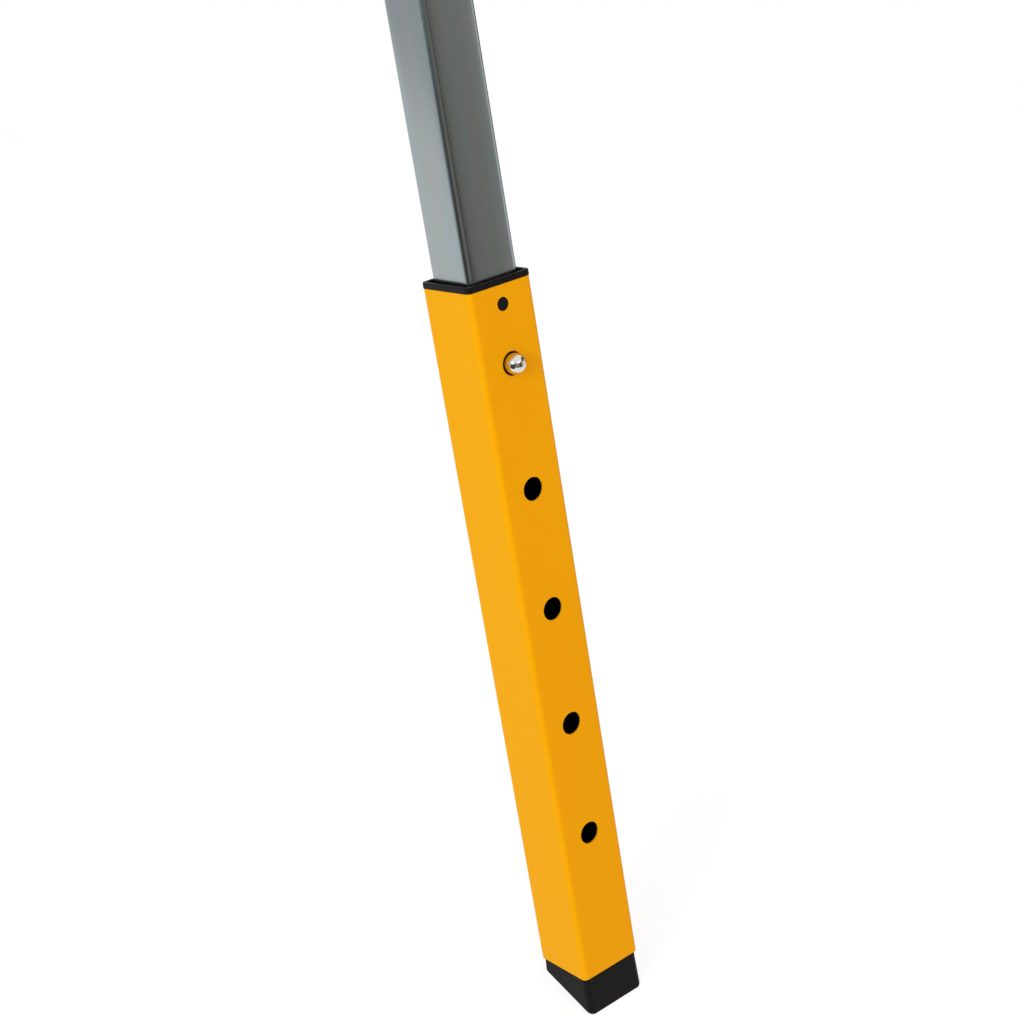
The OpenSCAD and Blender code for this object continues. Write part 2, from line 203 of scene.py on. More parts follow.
@dataclass(frozen=True)
class Layout:
    """Where the sub-assemblies stand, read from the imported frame, and the sizes that they share.

    Attributes:
        pivot_y: distance of a hinge pivot from the middle plane.
        hinge_h: height of the hinge pivots.
        lean: slope of an open leg from the upright, in degrees.
        leg_x: distance of each row's legs from the middle.
        beam_low: lowest corner of the beam.
        beam_high: highest corner of the beam.
        leg_half: half the width of an upper leg.
        plug_gap: room round what is pressed into a tube or a hole.
        plug_wall: wall of a moulded plug.
        stay_x, stay_drop: place of a stay's pivots along the beam and down the leg.
        bar_r, bar_t: end radius and thickness of links and lugs.
        rivet_r, rivet_head_r, rivet_head_h: a rivet's shank and head.
    """

    pivot_y: float
    hinge_h: float
    lean: float
    leg_x: dict[Row, float]
    beam_low: Array
    beam_high: Array
    leg_half: float = 16.0
    plug_gap: float = 0.15
    plug_wall: float = 3.0
    stay_x: float = 200.0
    stay_drop: float = 533.8
    bar_r: float = 11.0
    bar_t: float = 4.0
    rivet_r: float = 4.0
    rivet_head_r: float = 7.0
    rivet_head_h: float = 2.6

    @classmethod
    def read(cls) -> "Layout":
        """Reads the layout from the frame's joints and boxes.

        Returns:
            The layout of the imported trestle.
        """
        joints = frame["record"]["behaviour"]["joints"]
        fold = next(joint for joint in joints if joint["name"] == "front_fold")
        low, high = (np.array(corner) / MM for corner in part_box("beam"))
        leg_boxes = {row: np.array(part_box(f"upper_leg_{row.label}_right")) for row in Row}
        return cls(
            pivot_y=-fold["pos_m"][1] / MM,
            hinge_h=fold["pos_m"][2] / MM,
            lean=fold["range_deg"][1],
            leg_x={row: box[:, 0].mean() / MM for row, box in leg_boxes.items()},
            beam_low=low,
            beam_high=high,
        )

    def x(self, corner: Corner) -> float:
        """Gives a corner's place along the beam."""
        return corner.side.value * self.leg_x[corner.row]

    def pivot(self, x: float, row: Row) -> Array:
        """Gives the place of a hinge pivot, with the rear row mirrored."""
        return scaled(y=-row.value) @ moved(x, -self.pivot_y, self.hinge_h)

    def hung(self, x: float, row: Row) -> Array:
        """Gives the frame of an open leg that hangs at a hinge pivot."""
        return self.pivot(x, row) @ turned("X", -self.lean)


# Finishes


def linear(code: str) -> tuple[float, float, float, float]:
    """Turns an sRGB hex colour into Blender's linear one, by the sRGB curve.

    Args:
        code: colour as "#rrggbb".

    Returns:
        Red, green, blue and alpha.
    """
    channels = np.array([int(code[i:i + 2], 16) for i in (1, 3, 5)]) / 255.0
    low = channels / 12.92
    high = ((channels + 0.055) / 1.055) ** 2.4
    return (*np.where(channels <= 0.04045, low, high).tolist(), 1.0)


def cleared(owner: bpy.types.Material | bpy.types.World) -> bpy.types.NodeTree:
    """Gives the node tree of a material or world, emptied.

    Args:
        owner: the material or world.

    Returns:
        Its tree.
    """
    owner.use_nodes = True
    owner.node_tree.nodes.clear()
    return owner.node_tree


def add_node(
    tree: bpy.types.NodeTree, kind: str, inputs: dict[str | int, object] | None = None, **settings: object
) -> bpy.types.Node:
    """Adds a node with its settings and links.

    Args:
        tree: node tree to add to.
        kind: Blender's name of the node type, less "ShaderNode".
        inputs: for a named or numbered input, its value, the socket to link, or the node whose first
            output to link.
        settings: attributes of the node to set.

    Returns:
        The new node.
    """
    node = tree.nodes.new(f"ShaderNode{kind}")
    for name, value in settings.items():
        setattr(node, name, value)
    for name, value in (inputs or {}).items():
        source = value.outputs[0] if isinstance(value, bpy.types.Node) else value
        if isinstance(source, bpy.types.NodeSocket):
            tree.links.new(source, node.inputs[name])
        else:
            node.inputs[name].default_value = source
    return node


@dataclass(frozen=True)
class Finish:
    """A material and how its surface was made.

    Sizes of patches and bumps are in millimetres, across and along the piece.

    Attributes:
        name: common name of the material.
        colours: its colour, the one that it drifts to in slow patches, and that of broader patches.
        patch_mm: size of a slow patch.
        bloom_mm: size of a broader patch.
        grit_mm: size of a bump.
        grit_depth_mm: height of a bump.
        roughness: lowest and highest roughness, which follow the bumps.
        crown_mm: how far a rolled face falls off at CROWN_HALF from its middle.
        metallic: 1 for a metal.
        specular: specular level, for what isn't a metal.
    """

    name: str
    colours: tuple[str, str, str]
    patch_mm: tuple[float, float]
    bloom_mm: tuple[float, float]
    grit_mm: tuple[float, float]
    grit_depth_mm: float
    roughness: tuple[float, float]
    crown_mm: float = 0.0
    metallic: float = 0.0
    specular: float = 0.5

    def material(self) -> bpy.types.Material:
        """Gives the finish's material, made when first asked for."""
        return bpy.data.materials.get(self.name) or self._make()

    def _make(self) -> bpy.types.Material:
        """Builds the node tree: two drifts of colour, and bumps that also set the roughness.

        The bumps stand on a crown, which falls off by the sum of the fourth powers of the distances across.

        Returns:
            The new material.
        """
        material = bpy.data.materials.new(self.name)
        tree = cleared(material)
        own = add_node(tree, "Attribute", attribute_name=OWN_PLACE).outputs["Vector"]
        sizes = (self.patch_mm, self.bloom_mm, self.grit_mm)
        patch, bloom, grit = (self._noise(tree, own, size) for size in sizes)
        colour = linear(self.colours[0])
        for share, code in ((patch, self.colours[1]), (bloom, self.colours[2])):
            pair = {0: share, MIX_FIRST: colour, MIX_SECOND: linear(code)}
            colour = add_node(tree, "Mix", pair, data_type="RGBA").outputs[MIX_RESULT]
        low, high = self.roughness
        rough = add_node(tree, "MapRange", {"Value": grit, "To Min": low, "To Max": high})
        across = (1.0 / CROWN_HALF, 1.0 / CROWN_HALF, 0.0)
        reach = add_node(tree, "VectorMath", {0: own, 1: across}, operation="MULTIPLY")
        square = add_node(tree, "VectorMath", {0: reach, 1: reach}, operation="MULTIPLY")
        fourth = add_node(tree, "VectorMath", {0: square, 1: square}, operation="DOT_PRODUCT")
        fall = {0: fourth.outputs["Value"], 1: -self.crown_mm}
        crown = add_node(tree, "Math", fall, operation="MULTIPLY")
        bumps = {0: grit, 1: self.grit_depth_mm, 2: crown}
        height = add_node(tree, "Math", bumps, operation="MULTIPLY_ADD")
        bump = add_node(tree, "Bump", {"Strength": 1.0, "Distance": MM, "Height": height})
        look = {
            "Base Color": colour,
            "Metallic": self.metallic,
            "Roughness": rough,
            "Specular IOR Level": self.specular,
            "Normal": bump,
        }
        add_node(tree, "OutputMaterial", {"Surface": add_node(tree, "BsdfPrincipled", look)})
        return material

    @staticmethod
    def _noise(
        tree: bpy.types.NodeTree, own: bpy.types.NodeSocket, size_mm: tuple[float, float]
    ) -> bpy.types.Node:
        """Adds noise whose patches have a given size, spread over the range from 0 to 1.

        Args:
            tree: node tree to add to.
            own: the piece's own coordinates in millimetres.
            size_mm: size of a patch across and along the piece.

        Returns:
            The node that gives the spread noise.
        """
        across, along = (1.0 / size for size in size_mm)
        mapped = add_node(tree, "Mapping", {"Vector": own, "Scale": (across, across, along)})
        noise = add_node(tree, "TexNoise", {"Vector": mapped, "Scale": 1.0, "Detail": NOISE_DETAIL})
        low, high = NOISE_STRETCH
        return add_node(tree, "MapRange", {"Value": noise, "From Min": low, "From Max": high})


# Baked polyester powder on steel: satin, with a faint orange peel that breaks up its sheen.
YELLOW_COAT = Finish(
    name="powder_coated_steel_yellow",
    colours=("#f6a400", "#f7a701", "#f5a200"),
    patch_mm=(26.0, 60.0),
    bloom_mm=(90.0, 240.0),
    grit_mm=(1.6, 1.8),
    grit_depth_mm=0.012,
    roughness=(0.36, 0.46),
    specular=0.05,
)

# Bright zinc on cold-drawn tube: cool grey, with a faint pink and blue passivate bloom and long draw lines.
# The lines are drawn wider than real ones, so that they show.
ZINC_TUBE = Finish(
    name="zinc_plated_drawn_steel",
    colours=("#9aa8b0", "#a9a3a8", "#9fa9a6"),
    patch_mm=(7.0, 90.0),
    bloom_mm=(16.0, 170.0),
    grit_mm=(1.1, 160.0),
    grit_depth_mm=0.006,
    roughness=(0.18, 0.24),
    crown_mm=0.5,
    metallic=1.0,
)

# Bright zinc on pressed plate and fasteners: the same grey, with the rub of a plating barrel, which is
# drawn coarser than it is, so that it shows.
ZINC_PLATE = Finish(
    name="zinc_plated_pressed_steel",
    colours=("#a4abaf", "#aca9ac", "#a3aaa6"),
    patch_mm=(5.0, 9.0),
    bloom_mm=(14.0, 30.0),
    grit_mm=(1.1, 2.4),
    grit_depth_mm=0.005,
    roughness=(0.26, 0.4),
    metallic=1.0,
)

# Nickel on a polished turned button: mirrors the room, with a warm white of its own.
BRIGHT_NICKEL = Finish(
    name="nickel_plated_polished_steel",
    colours=("#ddd8cf", "#d8d4cd", "#dedad3"),
    patch_mm=(2.0, 2.0),
    bloom_mm=(5.0, 5.0),
    grit_mm=(1.4, 1.4),
    grit_depth_mm=0.0015,
    roughness=(0.06, 0.12),
    metallic=1.0,
)

# Blued spring strip with oil on it: dark grey and half glossy.
SPRING_STRIP = Finish(
    name="oiled_spring_steel",
    colours=("#7c7f84", "#74767c", "#807d7c"),
    patch_mm=(4.0, 12.0),
    bloom_mm=(9.0, 20.0),
    grit_mm=(0.7, 9.0),
    grit_depth_mm=0.003,
    roughness=(0.28, 0.4),
    metallic=1.0,
)

# Moulded polypropylene with a spark-eroded skin: near black, with a soft dull sheen. The skin is drawn
# coarser than it is, so that it shows.
BLACK_PLASTIC = Finish(
    name="moulded_polypropylene_black",
    colours=("#151210", "#181412", "#131110"),
    patch_mm=(6.0, 6.0),
    bloom_mm=(20.0, 20.0),
    grit_mm=(0.7, 0.7),
    grit_depth_mm=0.012,
    roughness=(0.38, 0.5),
    specular=0.1,
)

# Moulded rubber: matt black-brown, a little paler where mould release has dried on it.
BLACK_RUBBER = Finish(
    name="moulded_rubber_black",
    colours=("#141210", "#171412", "#121110"),
    patch_mm=(5.0, 5.0),
    bloom_mm=(16.0, 16.0),
    grit_mm=(0.9, 0.9),
    grit_depth_mm=0.02,
    roughness=(0.5, 0.62),
    specular=0.1,
)

# The uncoated inside of a tube: mill scale and oil, which drink up nearly all the light.
MILL_STEEL = Finish(
    name="oiled_mill_scale_steel",
    colours=("#15110e", "#1a1410", "#120f0d"),
    patch_mm=(8.0, 30.0),
    bloom_mm=(20.0, 90.0),
    grit_mm=(1.5, 6.0),
    grit_depth_mm=0.02,
    roughness=(0.55, 0.7),
    specular=0.25,
)

# The ring in a lock nut: undyed nylon, milky and waxy.
NYLON_RING = Finish(
    name="turned_nylon_white",
    colours=("#d9d5c8", "#d3cfc3", "#dcd9cf"),
    patch_mm=(2.0, 2.0),
    bloom_mm=(6.0, 6.0),
    grit_mm=(0.5, 0.5),
    grit_depth_mm=0.004,
    roughness=(0.4, 0.5),
)


# Surfaces


def eased(corners: Array, ease: tuple[float, ...] | float, closed: bool = True) -> Array:
    """Rounds the corners of a section.

    Each corner becomes a parabola between points at the easing distance before and after it:
    (1-s)^2 A + 2 s (1-s) P + s^2 B. Any further columns, such as a radius, follow in the same way.

    Args:
        corners: (n, k) section, whose columns are lengths.
        ease: easing distance, or one for each corner.
        closed: whether the last corner joins the first; the ends of an open section stay sharp.

    Returns:
        (n * (EASE_STEPS + 1), k) points of the rounded section.
    """
    distance = np.broadcast_to(np.asarray(ease, float), len(corners)).copy()
    if not closed:
        distance[[0, -1]] = 0.0
    before = np.roll(corners, 1, axis=0) - corners
    after = np.roll(corners, -1, axis=0) - corners
    reach = [np.maximum(np.linalg.norm(way, axis=1), LEAST_LENGTH) for way in (before, after)]
    start = corners + before * (distance / reach[0])[:, None]
    end = corners + after * (distance / reach[1])[:, None]
    s = np.linspace(0.0, 1.0, EASE_STEPS + 1)[None, :, None]
    curve = (1 - s) ** 2 * start[:, None] + 2 * s * (1 - s) * corners[:, None] + s**2 * end[:, None]
    return curve.reshape(-1, corners.shape[1])


def loft(section: Array) -> Array:
    """Carries a section round a rounded rectangle.

    A ring's point at angle t in a corner is (side x (half - radius) + radius cos t, the same with sin t).

    Args:
        section: (rows, 4) half width, half depth, corner radius and height of each ring.

    Returns:
        (rows, 4 * (ARC_STEPS + 1), 3) points, anticlockwise from +X.
    """
    quarter = np.linspace(0.0, math.pi / 2, ARC_STEPS + 1)
    angle = (np.arange(4)[:, None] * (math.pi / 2) + quarter).ravel()
    side_x = np.repeat([1.0, -1.0, -1.0, 1.0], ARC_STEPS + 1)
    side_y = np.repeat([1.0, 1.0, -1.0, -1.0], ARC_STEPS + 1)
    half_x, half_y, radius, height = (column[:, None] for column in section.T)
    x = side_x * (half_x - radius) + radius * np.cos(angle)
    y = side_y * (half_y - radius) + radius * np.sin(angle)
    return np.stack(np.broadcast_arrays(x, y, height), axis=-1)


def square_rows(rows: list[Triple]) -> Array:
    """Turns (half width, corner radius, height) rows into a loft's section with equal sides."""
    half, radius, height = np.array(rows, float).T
    return np.column_stack([half, half, radius, height])


def plug_rows(half: float, wall: float, corner: float, seat: float, tip: float) -> list[Triple]:
    """Gives the rows of a hollow plug: from its seat along the outside, over the tip and back in the bore.

    Args:
        half: half its width.
        wall: thickness of its wall.
        corner: radius of its corners.
        seat: height at which it stands on what it holds.
        tip: height of its open end.

    Returns:
        Four rows of half width, corner radius and height.
    """
    bore = half - wall
    return [(half, corner, seat), (half, corner, tip), (bore, corner, tip), (bore, corner, seat)]


def revolved(section: Array, hexagon: float = 0.0) -> Array:
    """Turns a section about Z: (r cos t, r sin t, z).

    Args:
        section: (rows, 2) radius and height.
        hexagon: distance across the flats of a hexagon that cuts the radius, or 0 for none.

    Returns:
        (rows, ROUND_STEPS, 3) points.
    """
    angle = np.arange(ROUND_STEPS) * (2 * math.pi / ROUND_STEPS)
    radius = np.repeat(section[:, :1], ROUND_STEPS, axis=1)
    if hexagon:
        sixth = math.pi / 3
        to_flat = np.mod(angle, sixth) - sixth / 2
        radius = np.minimum(radius, hexagon / 2 / np.cos(to_flat))
    height = np.repeat(section[:, 1:], ROUND_STEPS, axis=1)
    return np.stack([radius * np.cos(angle), radius * np.sin(angle), height], axis=-1)


def dome(radius: float, rise: float, foot: float) -> Array:
    """Gives the half section of a dome, from its rim to its pole: a circle through both.

    Args:
        radius: radius of the rim.
        rise: height of the pole over the rim, negative for a dome that looks down.
        foot: height of the rim.

    Returns:
        (DOME_STEPS, 2) radius and height.
    """
    ball = (radius**2 + rise**2) / (2 * abs(rise))
    widest = math.pi - math.asin(radius / ball) if abs(rise) > radius else math.asin(radius / ball)
    angle = np.linspace(widest, 0.0, DOME_STEPS)
    height = foot + math.copysign(1.0, rise) * (ball * np.cos(angle) - ball + abs(rise))
    return np.column_stack([ball * np.sin(angle), height])


def bead(path: Array, radius: float, ripple: float, closed: bool) -> Array:
    """Carries a weld bead along a level path: a circle whose radius ripples and shrinks away at open ends.

    Args:
        path: (n, 3) middle of the bead, evenly spaced.
        radius: mean radius of the bead.
        ripple: length of one ripple.
        closed: whether the path joins up.

    Returns:
        (n, BEAD_SIDES, 3) points, closed round each ring.
    """
    tangent = np.roll(path, -1, axis=0) - np.roll(path, 1, axis=0)
    if not closed:
        tangent[[0, -1]] = path[[1, -1]] - path[[0, -2]]
    tangent /= np.linalg.norm(tangent, axis=1)[:, None]
    side = np.cross(tangent, UP)
    side /= np.linalg.norm(side, axis=1)[:, None]
    rise = np.cross(side, tangent)
    step = np.linalg.norm(np.diff(path, axis=0), axis=1).mean()
    length = np.arange(len(path)) * step
    thickness = radius * (BEAD_TROUGH + BEAD_RIPPLE * np.abs(np.sin(math.pi * length / ripple)))
    if not closed:
        taper = 1 - (2 * length / length[-1] - 1) ** BEAD_TAPER
        thickness = thickness * np.sqrt(np.maximum(taper, 0.0))
    angle = np.linspace(0.0, 2 * math.pi, BEAD_SIDES, endpoint=False)
    ring = np.cos(angle)[None, :, None] * side[:, None] + np.sin(angle)[None, :, None] * rise[:, None]
    return path[:, None] + thickness[:, None, None] * ring


def straight_bead(half: float, steps: int, radius: float, ripple: float) -> Array:
    """Carries an open weld bead along Y, with its middle at the origin.

    Args:
        half: half its length.
        steps: rings along it.
        radius: mean radius of the bead.
        ripple: length of one ripple.

    Returns:
        (steps, BEAD_SIDES, 3) points.
    """
    path = np.zeros((steps, 3))
    path[:, 1] = np.linspace(-half, half, steps)
    return bead(path, radius, ripple, closed=False)


def grid_faces(rows: int, columns: int, wrap_rows: bool) -> Numbers:
    """Numbers the corners of the quads of a grid whose rows close on themselves.

    Args:
        rows: rows of points.
        columns: points in a row.
        wrap_rows: whether the last row joins the first.

    Returns:
        (strips, quads, 4) corner numbers.
    """
    number = np.arange(rows * columns).reshape(rows, columns)
    if wrap_rows:
        number = np.vstack([number, number[:1]])
    number = np.hstack([number, number[:, :1]])
    return np.stack([number[:-1, :-1], number[:-1, 1:], number[1:, 1:], number[1:, :-1]], axis=-1)


def linked(name: str, data: bpy.types.ID) -> bpy.types.Object:
    """Makes an object and links it into the scene.

    Args:
        name: name of the object.
        data: its mesh, light or camera.

    Returns:
        The new object.
    """
    made = bpy.data.objects.new(name, data)
    bpy.context.scene.collection.objects.link(made)
    return made


class Piece:
    """One shown object, gathered from grids of points and set into the trestle."""

    made: int = 0

    def __init__(self, name: str, place: Array, *finishes: Finish) -> None:
        """Starts an empty piece.

        Args:
            name: name of its object.
            place: 4 x 4 matrix from the piece's own millimetres to the trestle's.
            finishes: its finishes, numbered from 0.
        """
        self.name = name
        self.place = place
        self.finishes = finishes
        self.points: list[Array] = []
        self.faces: list[Numbers] = []
        self.marks: list[Numbers] = []

    def add(
        self,
        grid: Array,
        wrap_rows: bool = False,
        keep: NDArray[np.bool_] | None = None,
        finish: Numbers | int = 0,
    ) -> None:
        """Adds a grid of points, whose rows close on themselves, as quads.

        Args:
            grid: (rows, columns, 3) points.
            wrap_rows: whether the last row joins the first.
            keep: which quads to keep, for each strip and quad.
            finish: number of the finish, or one for each strip.
        """
        rows, columns = grid.shape[:2]
        quads = grid_faces(rows, columns, wrap_rows)
        marks = np.broadcast_to(np.reshape(finish, (-1, 1)), quads.shape[:2])
        chosen = np.ones(quads.shape[:2], bool) if keep is None else keep
        start = sum(len(points) for points in self.points)
        self.points.append(grid.reshape(-1, 3))
        self.faces.append(quads[chosen] + start)
        self.marks.append(marks[chosen])

    def build(self, body: str, slot: Slot, replaced: str, bevel_mm: float = 0.0) -> None:
        """Makes the object, closes its seams, dresses it and sets it on its body.

        Args:
            body: the body that it rides on.
            slot: the record's slot for its material; not used.
            replaced: the CAD node that it stands in for.
            bevel_mm: width of a bevel on its sharp edges, or 0 for none.
        """
        mesh = bpy.data.meshes.new(self.name)
        own = np.concatenate(self.points)
        mesh.from_pydata((placed(own, self.place) * MM).tolist(), [], np.concatenate(self.faces).tolist())
        mesh.polygons.foreach_set("material_index", np.concatenate(self.marks).astype(np.int32))
        self._close(mesh)
        self._keep_own_places(mesh)
        mesh.polygons.foreach_set("use_smooth", np.ones(len(mesh.polygons), bool))
        for finish in self.finishes:
            mesh.materials.append(finish.material())
        piece = linked(self.name, mesh)
        if bevel_mm:
            bevel = piece.modifiers.new("eased_edges", "BEVEL")
            bevel.width = bevel_mm * MM
            bevel.segments = BEVEL_STEPS
            bevel.limit_method = "ANGLE"
            bevel.angle_limit = SMOOTH_ANGLE
        else:
            mesh.set_sharp_from_angle(angle=SMOOTH_ANGLE)
        flat = piece.modifiers.new("flat_faces_stay_flat", "WEIGHTED_NORMAL")
        flat.keep_sharp = True
        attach(piece, body)
        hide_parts(replaced)
        log.info("%s: %d faces on %s", self.name, len(mesh.polygons), body)

    @staticmethod
    def _close(mesh: bpy.types.Mesh) -> None:
        """Merges the seams and poles of a mesh and turns its faces outwards.

        Args:
            mesh: the mesh.
        """
        shell = bmesh.new()
        shell.from_mesh(mesh)
        bmesh.ops.remove_doubles(shell, verts=shell.verts, dist=MERGE_DISTANCE)
        bmesh.ops.recalc_face_normals(shell, faces=shell.faces)
        shell.to_mesh(mesh)
        shell.free()

    def _keep_own_places(self, mesh: bpy.types.Mesh) -> None:
        """Stores each point's place in the piece's own frame, shifted so that no two pieces look alike.

        Args:
            mesh: the mesh.
        """
        Piece.made += 1
        flat = np.empty(3 * len(mesh.vertices), np.float32)
        mesh.vertices.foreach_get("co", flat)
        own = placed(flat.reshape(-1, 3) / MM, np.linalg.inv(self.place))
        own[:, 2] += Piece.made * PATTERN_SHIFT
        layer = mesh.attributes.new(OWN_PLACE, "FLOAT_VECTOR", "POINT")
        layer.data.foreach_set("vector", own.astype(np.float32).ravel())


@dataclass(frozen=True)
class Hole:
    """A round hole through one face of a tube, on a patch of face that is 2 x room high."""

    face: Face
    height: float
    radius: float
    room: float


@dataclass(frozen=True)
class Tube:
    """A rounded rectangular tube with eased ends and round holes.

    Attributes:
        half_x, half_y: half its width and depth.
        corner: radius of its outer corners.
        wall: thickness of its wall.
        low, high: heights of its ends.
        ease: easing of its ends and of its holes' edges.
        holes: its holes.
        least: least radius of an inner corner.
        hole_sides: points on each side of a hole.
    """

    half_x: float
    half_y: float
    corner: float
    wall: float
    low: float
    high: float
    ease: float = 0.35
    holes: tuple[Hole, ...] = ()
    least: float = 0.4
    hole_sides: int = 24

    def _cuts(self, hole: Hole) -> Array:
        """Gives the heights at which the rings beside a hole lie."""
        return np.linspace(hole.height - hole.room, hole.height + hole.room, self.hole_sides)

    def _patch(self, hole: Hole) -> Array:
        """Draws the wall round a hole.

        Rows run from the patch's outer border to the lip, through the bore, and from the inner lip to the
        inner border. The points on its two upright borders go to evenly spaced angles of the hole.

        Args:
            hole: the hole.

        Returns:
            (rows, 2 * hole_sides, 3) points.
        """
        across_y = hole.face in (Face.OUTER, Face.INNER)
        half, flat = (self.half_y, self.half_x) if across_y else (self.half_x, self.half_y)
        cuts = self._cuts(hole)
        upright = np.concatenate([cuts, cuts[::-1]])
        side = np.repeat([1.0, -1.0], self.hole_sides)
        step = math.pi / self.hole_sides
        angle = -math.pi / 2 + step * (np.arange(2 * self.hole_sides) + 0.5)
        lip = hole.radius + self.ease
        corners = [[lip, 0.0], [hole.radius, 0.0], [hole.radius, self.wall], [lip, self.wall]]
        bore = eased(np.array(corners), self.ease, closed=False)
        reach, depth = bore[:, :1], bore[:, 1:]
        ring = np.stack(
            np.broadcast_arrays(reach * np.cos(angle), depth - half, hole.height + reach * np.sin(angle)),
            axis=-1,
        )
        inner_flat = flat - self.wall - max(self.corner - self.wall, self.least)
        borders = [
            np.column_stack([side * wide, np.full_like(upright, deep - half), upright])[None]
            for wide, deep in ((flat - self.corner, 0.0), (inner_flat, self.wall))
        ]
        patch = np.concatenate([borders[0], ring, borders[1]])
        return placed(patch, turned("Z", 90.0 * hole.face.value))

    def add_to(self, piece: Piece) -> None:
        """Adds the tube's walls, ends and holes to a piece.

        The section through the wall runs up the outside, over the top, down the inside and back.

        Args:
            piece: the piece, whose second finish is that of the tube's inside.
        """
        cuts = np.unique(np.concatenate([self._cuts(hole) for hole in self.holes] or [np.empty(0)]))
        corners = np.array([[0.0, self.low], [0.0, self.high], [self.wall, self.high], [self.wall, self.low]])
        ends = eased(corners, self.ease).reshape(4, -1, 2)
        outside = np.column_stack([np.zeros_like(cuts), cuts])
        within = np.column_stack([np.full_like(cuts, self.wall), cuts[::-1]])
        section = np.concatenate([ends[0], outside, ends[1], ends[2], within, ends[3]])
        inset, height = section.T
        radius = np.maximum(self.corner - inset, self.least)
        rings = loft(np.column_stack([self.half_x - inset, self.half_y - inset, radius, height]))
        keep = np.ones(rings.shape[:2], bool)
        middle = (height + np.roll(height, -1)) / 2
        on_wall = np.isclose(inset, np.roll(inset, -1))
        # A flat face is the quad after the last point of a corner's arc, and the outer one follows the third.
        for hole in self.holes:
            column = ((3 + hole.face.value) * (ARC_STEPS + 1) - 1) % rings.shape[1]
            keep[on_wall & (np.abs(middle - hole.height) < hole.room), column] = False
            piece.add(self._patch(hole))
        hidden = np.isclose(inset, self.wall) & np.isclose(np.roll(inset, -1), self.wall)
        piece.add(rings, wrap_rows=True, keep=keep, finish=hidden.astype(int))


@dataclass(frozen=True)
class Ear:
    """A flat bar's round end with a bore, in the YZ plane with the bore at the origin.

    Attributes:
        radius: radius of the round end, which looks down.
        reach: distance from the bore up to the straight edge.
        bore: radius of the bore, or 0 for none.
        thickness: thickness along X, the same to both sides.
        joined: whether another stretch of bar goes on from the straight edge.
        side_steps: points up each side.
        edge_steps: points across the straight edge.
    """

    radius: float
    reach: float
    bore: float
    thickness: float
    joined: bool = True
    side_steps: int = 4
    edge_steps: int = 16

    def edge(self) -> Array:
        """Gives the places across the straight edge, from the right to the left."""
        return np.linspace(self.radius, -self.radius, self.edge_steps + 1)

    def add_to(self, piece: Piece, place: Array) -> None:
        """Adds the ear to a piece: both faces from the outline in to the bore, the bore and the outer edge.

        Args:
            piece: the piece.
            place: 4 x 4 matrix of the ear in the piece.
        """
        half_turn = 2 * self.side_steps + self.edge_steps
        under = np.linspace(math.pi, 2 * math.pi, half_turn, endpoint=False)
        end = np.column_stack([self.radius * np.cos(under), self.radius * np.sin(under)])
        up = np.linspace(0.0, self.reach, self.side_steps, endpoint=False)
        right = np.column_stack([np.full_like(up, self.radius), up])
        top = np.column_stack([self.edge(), np.full(self.edge_steps + 1, self.reach)])
        down = np.linspace(self.reach, 0.0, self.side_steps, endpoint=False)[1:]
        left = np.column_stack([np.full_like(down, -self.radius), down])
        outline = np.concatenate([end, right, top, left])
        angle = np.linspace(math.pi, 3 * math.pi, len(outline), endpoint=False)
        bore = self.bore * np.column_stack([np.cos(angle), np.sin(angle)])
        thick = np.array([0.5, 0.5, -0.5, -0.5])[:, None] * self.thickness
        flat = np.stack([outline, bore, bore, outline])
        across = np.broadcast_to(thick, flat.shape[:2])
        # Strip 1 is the wall of the bore, and strip 3 the outer edge.
        keep = np.ones(flat.shape[:2], bool)
        if not self.bore:
            keep[1] = False
        if self.joined:
            first = half_turn + self.side_steps
            keep[3, first:first + self.edge_steps] = False
        grid = np.concatenate([across[..., None], flat], axis=-1)
        piece.add(placed(grid, place), wrap_rows=True, keep=keep)


# Sub-assemblies, in which a tuple of eases has one for each corner of its section


